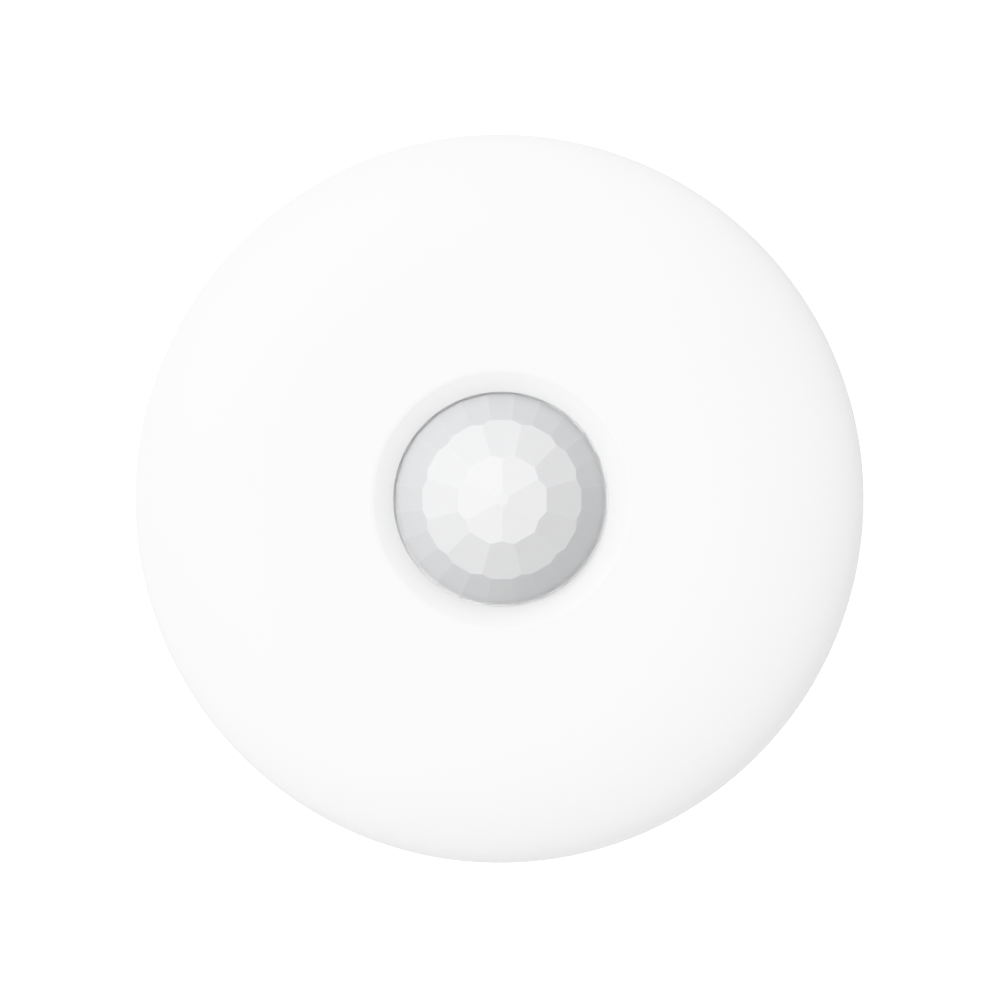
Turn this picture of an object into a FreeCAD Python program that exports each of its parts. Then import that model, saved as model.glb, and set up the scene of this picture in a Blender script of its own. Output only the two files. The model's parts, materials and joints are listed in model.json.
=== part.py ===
import FreeCAD, Part
import Sketcher
import math
import os

# Round ceiling motion detector with a faceted infrared dome.
# z = 0 is the mounting plane (back of the mounting plate), +Z points out of the ceiling
# along the lens axis, and the detector's axis is the Z axis. All sizes in millimetres.

Vector = FreeCAD.Vector
Placement = FreeCAD.Placement
Rotation = FreeCAD.Rotation

# ------------------------------------------------------------------------------------------
# Driving dimensions: (alias, value). _rad is a radius, _z a height above the mounting plane,
# _ang a slope in degrees from the horizontal.
# ------------------------------------------------------------------------------------------
DIMS = [
    # front cover
    ("cover_rad", 55.0), ("rim_z", 20.0), ("rim_start_rad", 32.0), ("rim_rise", 8.0),
    ("crater_rad", 19.45), ("open_rad", 16.15), ("crater_deep", 2.4),
    ("cover_wall", 2.2), ("cover_foot_z", 9.5), ("cover_foot_rad", 54.6),
    ("lip_thick", 0.8), ("pocket_rad", 18.8), ("collar_rad", 21.2), ("collar_foot_z", 20.6),
    ("crater_bulge_rad", 9.0), ("crater_edge_rad", 1.5), ("open_edge_rad", 0.25),
    # lens: inscribed radius and slope of each ring of flats, counted from the top
    ("lens_flat3", 15.85), ("lens_flat2", 11.9), ("lens_flat1", 6.6), ("lens_flat0", 0.83),
    ("lens_ang1", 13.3), ("lens_ang2", 36.2), ("lens_ang3", 58.0),
    ("lens_foot_z", 24.9), ("lens_skin", 0.75),
    ("lens_flange_rad", 18.6), ("lens_flange_thick", 1.1),
    # lens retainer: ret_ear_rad is the ring the ears stand on, ret_ear_r an ear's own radius
    ("ret_in_rad", 14.95), ("ret_out_rad", 22.2), ("ret_z", 19.1), ("ret_thick", 1.4),
    ("ret_rib_in", 16.6), ("ret_rib_out", 18.5), ("ret_ear_rad", 23.6), ("ret_ear_r", 3.0),
    # rear housing, whose skirt ends flush with the cover's foot
    ("rear_foot_z", 1.0), ("rear_foot_rad", 53.2), ("rear_in_rad", 50.6),
    ("centring_rad", 48.56), ("floor_z", 5.2), ("floor_thick", 1.8),
    ("lip_out_rad", 52.35), ("lip_in_rad", 50.9), ("lip_top_z", 12.0),
    # mounting plate
    ("plate_rad", 48.5), ("plate_thick", 2.2),
    ("slot_half", 2.2), ("slot_long", 9.0), ("slot_pitch", 60.0), ("hole_pitch", 50.0),
    ("hook_in_rad", 37.5), ("hook_out_rad", 42.5),
    ("hook_head_z", 7.06), ("hook_head_thick", 1.6),
    # circuit board and its posts
    ("pcb_z", 11.9), ("pcb_thick", 1.6), ("pcb_rad", 42.0), ("pcb_cut_y", 22.2),
    ("post_rad", 2.7), ("post_x", 36.0), ("post2_x", 22.0), ("post2_y", 31.0),
    # battery and its bay
    ("bat_y", 33.0), ("bat_z", 13.9), ("bat_rad", 8.5), ("bay_rad", 8.85), ("bay_wall", 1.35),
    ("bay_x1", 19.6), ("bay_x2", 19.2),
    # sensor can
    ("can_rad", 4.15), ("can_flange_rad", 4.6), ("can_top_z", 18.7), ("can_foot_z", 14.3),
    # cover screws
    ("boss_ring", 46.0), ("boss_rad", 2.9), ("screw_shank", 1.3), ("screw_head", 2.5),
    # tamper plunger, pairing button, DIP switch
    ("tamper_x", 14.0), ("tamper_y", 14.0), ("button_x", 14.0), ("button_y", 14.0),
    ("dip_y", 24.0), ("slider_travel", 1.7),
    # clamp screw
    ("clamp_z", 3.75), ("clamp_wall_rad", 45.6), ("pad_top_z", 5.14), ("clamp_seat_rad", 51.2),
]


class Size:
    """A number together with the spreadsheet expression it comes from."""

    def __init__(self, value, formula=None):
        self.value = float(value)
        self.formula = formula or repr(self.value)
        self.driven = "dims." in self.formula

    def joined(self, sign, other, value):
        return Size(value, "(%s %s %s)" % (self.formula, sign, other.formula))

    def __add__(self, other):
        other = sized(other)
        return self.joined("+", other, self.value + other.value)

    __radd__ = __add__

    def __sub__(self, other):
        other = sized(other)
        return self.joined("-", other, self.value - other.value)

    def __rsub__(self, other):
        return sized(other) - self

    def __mul__(self, other):
        other = sized(other)
        return self.joined("*", other, self.value * other.value)

    __rmul__ = __mul__

    def __truediv__(self, other):
        other = sized(other)
        return self.joined("/", other, self.value / other.value)

    def __neg__(self):
        return 0 - self


def sized(number):
    return number if isinstance(number, Size) else Size(number)


def trig(function, angle):
    angle = sized(angle)
    value = getattr(math, function)(math.radians(angle.value))
    return Size(value, "%s(%s * 1 deg)" % (function, angle.formula))


def cosd(angle):
    return trig("cos", angle)


def sind(angle):
    return trig("sin", angle)


def tand(angle):
    return trig("tan", angle)


def around(radius, angle):
    """The point (x, y) at a radius and an angle about the Z axis."""
    return radius * cosd(angle), radius * sind(angle)


class Dims:
    """The spreadsheet's dimensions, one attribute for each alias."""


doc = FreeCAD.newDocument("ceiling_motion_detector")
sheet = doc.addObject("Spreadsheet::Sheet", "dims")
sheet.set("A1", "dimension")
sheet.set("B1", "value")
dim = Dims()
for row, (alias, number) in enumerate(DIMS, start=2):
    sheet.set("A%d" % row, alias)
    sheet.set("B%d" % row, str(number))
    sheet.setAlias("B%d" % row, alias)
    setattr(dim, alias, Size(number, "dims." + alias))
doc.recompute()

# ------------------------------------------------------------------------------------------
# Levels and places used by several pieces
# ------------------------------------------------------------------------------------------
GAP = 0.02                                  # clearance between touching pieces
face_z = dim.rim_z + dim.rim_rise
open_z = face_z - dim.crater_deep
seat_z = open_z - dim.lip_thick             # underside of the lip the lens flange bears on
under_face_z = face_z - dim.cover_wall
floor_top = dim.floor_z + dim.floor_thick
board_top = dim.pcb_z + dim.pcb_thick

COVER_SCREW_SITES = [around(dim.boss_ring, 45 + 90 * k) for k in range(4)]
RETAINER_SCREW_SITES = [around(dim.ret_ear_rad, 90 + 120 * k) for k in range(3)]
POST_SITES = [(dim.post_x, 0), (-dim.post_x, 0),
              (dim.post2_x, dim.post2_y), (-dim.post2_x, dim.post2_y)]
PIR_PINS = [(2.54 * math.cos(math.radians(a)), 2.54 * math.sin(math.radians(a)))
            for a in (90, 180, 270)]
HOOK_ANGLES = (90, 210, 330)
LEAD_X, LEAD_Y = 17.6, -17.0                # battery lead holes in the board, at x = -+LEAD_X


def turn(axis, angle):
    return Rotation(Vector(*axis), angle)


# Rotations that take the +Z axis to the named direction
UP = turn((0, 0, 1), 0)
DOWN = turn((1, 0, 0), 180)
ALONG_X = turn((0, 1, 0), 90)
INWARD = turn((1, 0, 0), -90)               # +Y: inward for what stands on the -Y side

pieces = {}


def finish(obj, label):
    """Registers obj as the finished piece called label."""
    obj.Label = label
    pieces[label] = obj
    return obj


def bind(obj, prop, size):
    size = sized(size)
    if size.driven:
        obj.setExpression(prop, size.formula)
    else:
        setattr(obj, prop, size.value)


# ------------------------------------------------------------------------------------------
# Part primitives and booleans
# ------------------------------------------------------------------------------------------
def shift(x, y, z):
    return Placement(Vector(x, y, z), Rotation())


def place(obj, x=0, y=0, z=0, rot=None):
    x, y, z = sized(x), sized(y), sized(z)
    if rot is not None:
        obj.Placement = Placement(Vector(x.value, y.value, z.value), rot)
    for axis, size in zip("xyz", (x, y, z)):
        if size.value != 0 or size.driven:
            obj.setExpression("Placement.Base." + axis, size.formula)
    return obj


def box(name, length, width, height, x=0, y=0, z=0):
    """Box centred on x and y, standing on z."""
    obj = doc.addObject("Part::Box", name)
    bind(obj, "Length", length)
    bind(obj, "Width", width)
    bind(obj, "Height", height)
    return place(obj, sized(x) - sized(length) / 2, sized(y) - sized(width) / 2, z)


def corner_box(name, length, width, height, placement):
    """Box whose own corner sits at the placement's origin."""
    obj = doc.addObject("Part::Box", name)
    obj.Length = length
    obj.Width = width
    obj.Height = height
    obj.Placement = placement
    return obj


def cyl(name, radius, height, x=0, y=0, z=0, rot=None, angle=None):
    obj = doc.addObject("Part::Cylinder", name)
    bind(obj, "Radius", radius)
    bind(obj, "Height", height)
    if angle is not None:
        obj.Angle = angle
    return place(obj, x, y, z, rot)


def cone(name, low_rad, high_rad, height, x=0, y=0, z=0):
    obj = doc.addObject("Part::Cone", name)
    bind(obj, "Radius1", low_rad)
    bind(obj, "Radius2", high_rad)
    bind(obj, "Height", height)
    return place(obj, x, y, z)


def fuse(name, shapes):
    obj = doc.addObject("Part::MultiFuse", name)
    obj.Shapes = shapes
    obj.Refine = True
    return obj


def cut(name, base, tools):
    tools = tools if isinstance(tools, list) else [tools]
    obj = doc.addObject("Part::Cut", name)
    obj.Base = base
    obj.Tool = tools[0] if len(tools) == 1 else fuse(name + "_tools", tools)
    obj.Refine = True
    return obj


def common(name, base, tool):
    obj = doc.addObject("Part::Common", name)
    obj.Base = base
    obj.Tool = tool
    return obj


def group(name, shapes):
    obj = doc.addObject("Part::Compound", name)
    obj.Links = shapes
    return obj


def rounded(name, base, radius, pick):
    """Fillets every edge of base that pick(edge) accepts."""
    doc.recompute()
    obj = doc.addObject("Part::Fillet", name)
    obj.Base = base
    obj.Edges = [(i, radius, radius) for i, edge in enumerate(base.Shape.Edges, start=1)
                 if pick(edge)]
    return obj


def tube(name, out_rad, in_rad, height, x=0, y=0, z=0, rot=None):
    return cut(name, cyl(name + "_o", out_rad, height, x, y, z, rot),
               cyl(name + "_i", in_rad, height, x, y, z, rot))


def sector(name, in_rad, out_rad, height, z, start, end):
    """Part of a ring between two angles about the Z axis."""
    outer = cyl(name + "_o", out_rad, height, 0, 0, z, turn((0, 0, 1), start), end - start)
    inner = cyl(name + "_i", in_rad, height + 2, 0, 0, sized(z) - 1)
    return cut(name, outer, inner)


def coil(name, radius, pitch, height, wire, at, rot, cone_angle=0.0):
    """Round-wire coil about the rotated +Z axis, the axis starting at the point at."""
    base = Placement(Vector(*[sized(c).value for c in at]), rot)
    helix = doc.addObject("Part::Helix", name + "_path")
    helix.Radius = radius
    helix.Pitch = pitch
    helix.Height = height
    helix.Angle = cone_angle
    helix.Placement = base
    section = doc.addObject("Part::Circle", name + "_wire")
    section.Radius = wire
    section.Placement = base * Placement(Vector(radius, 0, 0), turn((1, 0, 0), -90))
    doc.recompute()
    sweep = doc.addObject("Part::Sweep", name + "_coil")
    sweep.Sections = [section]
    sweep.Spine = (helix, ["Edge%d" % i for i in range(1, len(helix.Shape.Edges) + 1)])
    sweep.Solid = True
    sweep.Frenet = True
    return sweep


def strand(name, points, wire):
    """Round wire through the given points."""
    points = [Vector(*p) for p in points]
    start = points[1] - points[0]
    curve = Part.BSplineCurve()
    curve.interpolate(points, InitialTangent=start, FinalTangent=(points[-1] - points[-2]))
    path = doc.addObject("Part::Feature", name + "_path")
    path.Shape = Part.Wire([curve.toShape()])
    section = doc.addObject("Part::Circle", name + "_wire")
    section.Radius = wire
    section.Placement = Placement(points[0], Rotation(Vector(0, 0, 1), start))
    doc.recompute()
    sweep = doc.addObject("Part::Sweep", name + "_strand")
    sweep.Sections = [section]
    sweep.Spine = (path, ["Edge1"])
    sweep.Solid = True
    sweep.Frenet = False
    return sweep


# ------------------------------------------------------------------------------------------
# Sketches
# ------------------------------------------------------------------------------------------
def new_body(name):
    return doc.addObject("PartDesign::Body", name)


def origin(body, role):
    return [f for f in body.Origin.OriginFeatures if f.Role == role][0]


def new_sketch(body, name, plane="XY_Plane", level=None):
    profile = body.newObject("Sketcher::SketchObject", name)
    profile.AttachmentSupport = [(origin(body, plane), "")]
    profile.MapMode = "FlatFace"
    if level is not None:
        level = sized(level)
        profile.AttachmentOffset = shift(0, 0, level.value)
        profile.setExpression("AttachmentOffset.Base.z", level.formula)
    return profile


def constrain(profile, size, *target):
    """Adds a constraint of the given size, bound to the spreadsheet where it depends on it."""
    index = profile.addConstraint(Sketcher.Constraint(*target, size.value))
    if size.driven:
        profile.setExpression("Constraints[%d]" % index, size.formula)


def pin(profile, geo, pos, x, y):
    """Fixes a sketch point at (x, y) from the sketch's origin."""
    for kind, size, axis in (("DistanceX", sized(x), -2), ("DistanceY", sized(y), -1)):
        if abs(size.value) < 1e-9:
            profile.addConstraint(Sketcher.Constraint("PointOnObject", geo, pos, axis))
        else:
            constrain(profile, size, kind, -1, 1, geo, pos)


def arc_edge(profile, start, end, radius):
    """Circular arc from start to end, bulging to the left of the way there."""
    radius = sized(radius)
    chord = end - start
    left = Vector(-chord.y, chord.x, 0)
    left.normalize()
    offset = math.sqrt(max(0.0, radius.value**2 - (chord.Length / 2) ** 2))
    centre = (start + end) * 0.5 - left * offset
    geo = profile.addGeometry(Part.Arc(start, centre + left * radius.value, end), False)
    constrain(profile, radius, "Radius", geo)
    return geo


def ellipse_edge(profile, start, end, centre_x, centre_y):
    """Quarter ellipse between start and end about a centre, its major axis along X."""
    centre_x, centre_y = sized(centre_x), sized(centre_y)
    middle = Vector(centre_x.value, centre_y.value, 0)
    major = max(abs(start.x - middle.x), abs(end.x - middle.x))
    minor = max(abs(start.y - middle.y), abs(end.y - middle.y))
    angles = sorted(math.atan2((p.y - middle.y) / minor, (p.x - middle.x) / major)
                    for p in (start, end))
    ellipse = Part.Ellipse(middle, major, minor)
    geo = profile.addGeometry(Part.ArcOfEllipse(ellipse, angles[0], angles[1]), False)
    profile.exposeInternalGeometry(geo)
    # the major axis is the first geometry exposed after the arc
    profile.addConstraint(Sketcher.Constraint("Horizontal", geo + 1))
    pin(profile, geo, 3, centre_x, centre_y)
    return geo


def outline(body, name, points, plane="XY_Plane", level=None):
    """Sketch of a closed outline. Each point is (x, y) and may carry the edge that follows it:
    ("arc", radius) or ("ellipse", centre_x, centre_y). Other edges are straight."""
    profile = new_sketch(body, name, plane, level)
    corners = [Vector(sized(p[0]).value, sized(p[1]).value, 0) for p in points]
    count = len(points)
    edges = []                              # (geometry, its start point, its end point)
    for i, point in enumerate(points):
        start, end = corners[i], corners[(i + 1) % count]
        if len(point) == 2:
            geo = profile.addGeometry(Part.LineSegment(start, end), False)
        elif point[2][0] == "arc":
            geo = arc_edge(profile, start, end, *point[2][1:])
        else:
            geo = ellipse_edge(profile, start, end, *point[2][1:])
        forward = (profile.getPoint(geo, 1) - start).Length < 1e-6
        edges.append((geo, 1, 2) if forward else (geo, 2, 1))
    for i in range(count):
        geo, _, end = edges[i]
        following, start, _ = edges[(i + 1) % count]
        profile.addConstraint(Sketcher.Constraint("Coincident", geo, end, following, start))
    for (geo, start, _), point in zip(edges, points):
        pin(profile, geo, start, point[0], point[1])
    return profile


def disc(body, name, level, radius, x=0, y=0):
    """Sketch of a circle on a level plane."""
    profile = new_sketch(body, name, level=level)
    radius = sized(radius)
    centre = Vector(sized(x).value, sized(y).value, 0)
    geo = profile.addGeometry(Part.Circle(centre, Vector(0, 0, 1), radius.value), False)
    pin(profile, geo, 3, x, y)
    constrain(profile, radius, "Radius", geo)
    return profile


def slot(body, name, level, middle_x, half_gap, radius):
    """Sketch of a slot along X: end arcs centred at middle_x -+ half_gap on the X axis."""
    profile = new_sketch(body, name, level=level)
    ends = (middle_x - half_gap, middle_x + half_gap)
    left, right = [
        profile.addGeometry(
            Part.ArcOfCircle(
                Part.Circle(Vector(x.value, 0, 0), Vector(0, 0, 1), radius.value),
                first, first + math.pi), False)
        for x, first in zip(ends, (math.pi / 2, -math.pi / 2))]
    top, low = [
        profile.addGeometry(
            Part.LineSegment(Vector(ends[0].value, y, 0), Vector(ends[1].value, y, 0)), False)
        for y in (radius.value, -radius.value)]
    for arc, arc_end, line, line_end in ((left, 1, top, 1), (left, 2, low, 1),
                                         (right, 2, top, 2), (right, 1, low, 2)):
        profile.addConstraint(Sketcher.Constraint("Tangent", arc, arc_end, line, line_end))
    constrain(profile, radius, "Radius", left)
    pin(profile, left, 3, ends[0], 0)
    pin(profile, right, 3, ends[1], 0)
    return profile


# ------------------------------------------------------------------------------------------
# PartDesign features
# ------------------------------------------------------------------------------------------
def turned(name, points):
    """Body revolved about the Z axis from a section given as (radius, z) points."""
    body = new_body(name + "_body")
    profile = outline(body, name + "_section", points, "XZ_Plane")
    feature = body.newObject("PartDesign::Revolution", name + "_turned")
    feature.Profile = profile
    feature.ReferenceAxis = (profile, ["V_Axis"])
    feature.Angle = 360.0
    body.Tip = feature
    doc.recompute()
    return body


def pad(body, profile, name, length):
    feature = body.newObject("PartDesign::Pad", name)
    feature.Profile = profile
    bind(feature, "Length", length)
    body.Tip = feature
    return feature


def pocket(body, profile, name, length, midplane=False):
    """Pocket of a given length towards the sketch's normal, or to both sides of its plane."""
    doc.recompute()
    before = body.Shape.Volume
    feature = body.newObject("PartDesign::Pocket", name)
    feature.Profile = profile
    feature.Type = "Length"
    bind(feature, "Length", length)
    feature.Reversed = True
    feature.Midplane = midplane
    body.Tip = feature
    doc.recompute()
    if not feature.Shape.Volume < before - 1e-6:
        raise RuntimeError("%s cuts nothing" % name)
    return feature


def polar(body, feature, name, count, angle=360.0):
    pattern = body.newObject("PartDesign::PolarPattern", name)
    pattern.Originals = [feature]
    pattern.Axis = (origin(body, "Z_Axis"), [""])
    pattern.Angle = angle
    pattern.Occurrences = count
    body.Tip = pattern


def level_edges(shape, level, fits):
    """Names of the edges lying flat at a level whose bounding box fits(box) accepts."""
    names = []
    for i, edge in enumerate(shape.Edges, start=1):
        bounds = edge.BoundBox
        flat = abs(bounds.ZMax - bounds.ZMin) < 1e-4
        if flat and abs(bounds.ZMin - level.value) < 1e-3 and fits(bounds):
            names.append("Edge%d" % i)
    return names


# ------------------------------------------------------------------------------------------
# Front cover: one revolved shell with the crater, the lens collar, screw bosses and ribs
# ------------------------------------------------------------------------------------------
def cover_shell():
    inner_rad = dim.cover_rad - dim.cover_wall
    # the side is an arc that stands upright at the rim and draws in by drop at the foot
    drop = dim.cover_rad - dim.cover_foot_rad
    rise = dim.rim_z - dim.cover_foot_z
    side_rad = (rise * rise + drop * drop) / (2 * drop)
    rim = ("ellipse", dim.rim_start_rad, dim.rim_z)
    return turned("cover", [
        (dim.open_rad, open_z, ("arc", dim.crater_bulge_rad)),
        (dim.crater_rad, face_z),
        (dim.rim_start_rad, face_z, rim),
        (dim.cover_rad, dim.rim_z, ("arc", side_rad)),
        (dim.cover_foot_rad, dim.cover_foot_z),
        (inner_rad - 0.25, dim.cover_foot_z),
        (inner_rad, dim.rim_z, rim),
        (dim.rim_start_rad, under_face_z),
        (dim.collar_rad, under_face_z),
        (dim.collar_rad, dim.collar_foot_z),
        (dim.pocket_rad, dim.collar_foot_z),
        (dim.pocket_rad, seat_z),
        (dim.open_rad, seat_z),
    ])


def cover_bosses(body):
    boss_top_z = 25.0
    x, y = COVER_SCREW_SITES[0]
    profile = disc(body, "cover_boss_outline", floor_top + GAP, dim.boss_rad, x, y)
    boss = pad(body, profile, "cover_boss", boss_top_z - floor_top - GAP)
    polar(body, boss, "cover_bosses", 4)
    # bosses for the screws that hold the lens retainer
    profile = disc(body, "retainer_boss_outline", dim.collar_foot_z,
                   dim.ret_ear_r - 0.1, 0, dim.ret_ear_rad)
    boss = pad(body, profile, "retainer_boss", under_face_z + 0.4 - dim.collar_foot_z)
    polar(body, boss, "retainer_bosses", 3)


def cover_ribs(body):
    """Stiffening ribs under the face, clear of the battery bay."""
    start_rad, end_rad, half_width, depth, overlap = dim.collar_rad - 0.5, 37.0, 0.6, 2.0, 0.4
    profile = outline(body, "rib_outline", [
        (start_rad, -half_width), (end_rad, -half_width),
        (end_rad, half_width), (start_rad, half_width)], level=under_face_z - depth)
    rib = pad(body, profile, "rib", depth + overlap)
    polar(body, rib, "ribs", 5, angle=180.0)
    doc.recompute()


def cover_pilots(body):
    """Blind pilot holes in the bosses."""
    x, y = COVER_SCREW_SITES[0]
    profile = disc(body, "cover_pilot_outline", floor_top, dim.screw_shank + 0.03, x, y)
    polar(body, pocket(body, profile, "cover_pilot", 12.0), "cover_pilots", 4)
    profile = disc(body, "retainer_pilot_outline", dim.collar_foot_z, 0.93, 0, dim.ret_ear_rad)
    polar(body, pocket(body, profile, "retainer_pilot", 4.6), "retainer_pilots", 3)
    doc.recompute()


def front_cover():
    body = cover_shell()
    cover_bosses(body)
    cover_ribs(body)
    cover_pilots(body)
    # soft edges of the crater and the opening
    for name, level, radius in (("crater_edge", face_z, dim.crater_rad),
                                ("open_edge", open_z, dim.open_rad)):
        base = body.Tip
        names = level_edges(
            base.Shape, level,
            lambda b: b.XMin < -10 and abs(max(b.XMax, b.YMax) - radius.value) < 1e-3)
        soft = body.newObject("PartDesign::Fillet", name)
        soft.Base = (base, names)
        soft.setExpression("Radius", "dims.%s_rad" % name)
        body.Tip = soft
        doc.recompute()
    names = level_edges(soft.Shape, dim.cover_foot_z,
                        lambda b: abs(b.XMax - dim.cover_foot_rad.value) < 1e-3)
    bevel = body.newObject("PartDesign::Chamfer", "foot_edge")
    bevel.Base = (soft, names)
    bevel.Size = 0.35
    body.Tip = bevel
    finish(body, "front_cover")


# ------------------------------------------------------------------------------------------
# Lens: a faceted dome of 1 + 6 + 12 + 24 flats on a round flange, cut hollow by its own
# inner offset
# ------------------------------------------------------------------------------------------
def lens_planes(inset):
    """Top of a dome inset by that much, and for each ring of flats the height where its
    plane meets the axis, its slope and its number of flats."""
    slope1, slope2, slope3 = tand(dim.lens_ang1), tand(dim.lens_ang2), tand(dim.lens_ang3)
    top = (dim.lens_foot_z + (dim.lens_flat3 - dim.lens_flat2) * slope3
           + (dim.lens_flat2 - dim.lens_flat1) * slope2
           + (dim.lens_flat1 - dim.lens_flat0) * slope1)
    apex1 = top + dim.lens_flat0 * slope1
    apex2 = apex1 - dim.lens_flat1 * slope1 + dim.lens_flat1 * slope2
    apex3 = apex2 - dim.lens_flat2 * slope2 + dim.lens_flat2 * slope3
    return top - inset, [(apex1 - inset / cosd(dim.lens_ang1), slope1, 6),
                         (apex2 - inset / cosd(dim.lens_ang2), slope2, 12),
                         (apex3 - inset / cosd(dim.lens_ang3), slope3, 24)]


def faceted_dome(name, inset, foot):
    """A 24-sided prism whose top is cut down to the flats, the lowest ring first."""
    reach, above = 17.5, 0.4                # how far the cutting wedges extend past the prism
    body = new_body(name)
    top, rings = lens_planes(inset)
    corner_rad = (dim.lens_flat3 - inset) / cosd(7.5)
    profile = outline(body, name + "_outline",
                      [around(corner_rad, 7.5 + 15 * k) for k in range(24)], level=foot)
    pad(body, profile, name + "_prism", top - foot)
    for apex, slope, count in reversed(rings):
        profile = outline(body, "%s_facet_%d" % (name, count), [
            ((apex - top - above) / slope, top + above),
            (reach, apex - reach * slope),
            (reach, top + above)], "XZ_Plane")
        facet = pocket(body, profile, "%s_cut_%d" % (name, count), 34.0, midplane=True)
        polar(body, facet, "%s_ring_%d" % (name, count), count)
        doc.recompute()
    return body


def lens():
    flange_z = seat_z - dim.lens_flange_thick
    outer = faceted_dome("lens_outer", Size(0), seat_z - 0.3)
    profile = disc(outer, "lens_flange_outline", flange_z, dim.lens_flange_rad)
    pad(outer, profile, "lens_flange", dim.lens_flange_thick - GAP)
    inner = faceted_dome("lens_inner", dim.lens_skin, flange_z - 1.0)
    finish(cut("lens_shell", outer, inner), "lens")


def lens_retainer():
    ring_top = dim.ret_z + dim.ret_thick
    rib_top = seat_z - dim.lens_flange_thick - GAP
    body = turned("retainer", [
        (dim.ret_in_rad, dim.ret_z), (dim.ret_out_rad, dim.ret_z),
        (dim.ret_out_rad, ring_top), (dim.ret_rib_out, ring_top),
        (dim.ret_rib_out, rib_top), (dim.ret_rib_in, rib_top),
        (dim.ret_rib_in, ring_top), (dim.ret_in_rad, ring_top)])
    profile = disc(body, "ear_outline", dim.ret_z, dim.ret_ear_r, 0, dim.ret_ear_rad)
    polar(body, pad(body, profile, "ear", dim.ret_thick), "ears", 3)
    doc.recompute()
    profile = disc(body, "ear_hole_outline", dim.ret_z, 1.05, 0, dim.ret_ear_rad)
    polar(body, pocket(body, profile, "ear_hole", dim.ret_thick), "ear_holes", 3)
    finish(body, "lens_retainer")


# ------------------------------------------------------------------------------------------
# Screws
# ------------------------------------------------------------------------------------------
def screw(name, x, y, z, rot, shank_rad, shank_long, head_rad, head_high):
    """Cross-recessed pan-head screw: its head's underside is at (x, y, z) and the shank runs
    along the rotated +Z."""
    foot = Vector(sized(x).value, sized(y).value, sized(z).value)
    frame = Placement(foot, rot)
    axis = rot.multVec(Vector(0, 0, 1))
    head_number = sized(head_rad).value
    straight = shank_long * 0.82

    shank = cyl(name + "_shank", shank_rad, straight, x, y, z, rot)
    tip = cone(name + "_tip", shank_rad, 0.25, shank_long * 0.18)
    tip.Placement = frame * shift(0, 0, straight)
    head = cyl(name + "_head", head_rad, head_high)
    head.Placement = frame * shift(0, 0, -head_high)
    solid = fuse(name + "_solid", [shank, tip, head])

    def on_head_top(edge):
        centre = edge.BoundBox.Center
        return (edge.Curve.TypeId == "Part::GeomCircle"
                and abs(edge.Curve.Radius - head_number) < 1e-4
                and abs((centre - foot).dot(axis) + head_high) < 1e-4)

    pan = rounded(name + "_pan", solid, head_high * 0.55, on_head_top)
    length, width = head_number * 1.15, head_number * 0.26
    arms = [corner_box("%s_recess%d" % (name, k), length, width, head_high * 0.6,
                       frame * Placement(Vector(0, 0, -head_high - 0.01),
                                         turn((0, 0, 1), 90 * k))
                       * shift(-length / 2, -width / 2, 0))
            for k in range(2)]
    return cut(name, pan, arms)


def screw_set(name, sites, z, rot, **sizes):
    screws = [screw("%s_%d" % (name, k), x, y, z, rot, **sizes)
              for k, (x, y) in enumerate(sites)]
    finish(group(name + "_set", screws), name + "s")


def cover_screws():
    screw_set("cover_screw", COVER_SCREW_SITES, dim.floor_z - GAP, UP,
              shank_rad=dim.screw_shank, shank_long=9.6, head_rad=dim.screw_head,
              head_high=1.65)


def retainer_screws():
    screw_set("retainer_screw", RETAINER_SCREW_SITES, dim.ret_z - GAP, UP,
              shank_rad=0.9, shank_long=5.4, head_rad=1.75, head_high=1.3)


def board_screws():
    screw_set("board_screw", POST_SITES, board_top + GAP, DOWN,
              shank_rad=1.0, shank_long=5.6, head_rad=2.1, head_high=1.5)


# ------------------------------------------------------------------------------------------
# Rear housing
# ------------------------------------------------------------------------------------------
bay_half = dim.bay_rad + dim.bay_wall       # outer radius of the battery bay's vault
bay_room_long = dim.bay_x1 + dim.bay_x2


def rear_shell():
    top = dim.cover_foot_z - GAP
    body = turned("rear", [
        (0, dim.floor_z), (dim.rear_in_rad, dim.floor_z),
        (dim.rear_in_rad, dim.rear_foot_z + 0.4), (dim.rear_in_rad + 0.4, dim.rear_foot_z),
        (dim.rear_foot_rad - 0.5, dim.rear_foot_z), (dim.rear_foot_rad, dim.rear_foot_z + 0.5),
        (dim.cover_foot_rad, top - 0.35), (dim.cover_foot_rad - 0.35, top),
        (dim.lip_out_rad, top), (dim.lip_out_rad, dim.lip_top_z - 0.4),
        (dim.lip_out_rad - 0.4, dim.lip_top_z), (dim.lip_in_rad, dim.lip_top_z),
        (dim.lip_in_rad, floor_top), (0, floor_top),
    ])
    # centring ribs that run on the mounting plate's edge
    half_width, end_rad = 0.7, dim.rear_in_rad + 0.6
    profile = outline(body, "centring_outline", [
        (dim.centring_rad, -half_width), (end_rad, -half_width),
        (end_rad, half_width), (dim.centring_rad, half_width)], level=dim.rear_foot_z + 0.2)
    rib = pad(body, profile, "centring_rib", dim.floor_z - dim.rear_foot_z)
    polar(body, rib, "centring_ribs", 6)
    doc.recompute()
    return body


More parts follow.
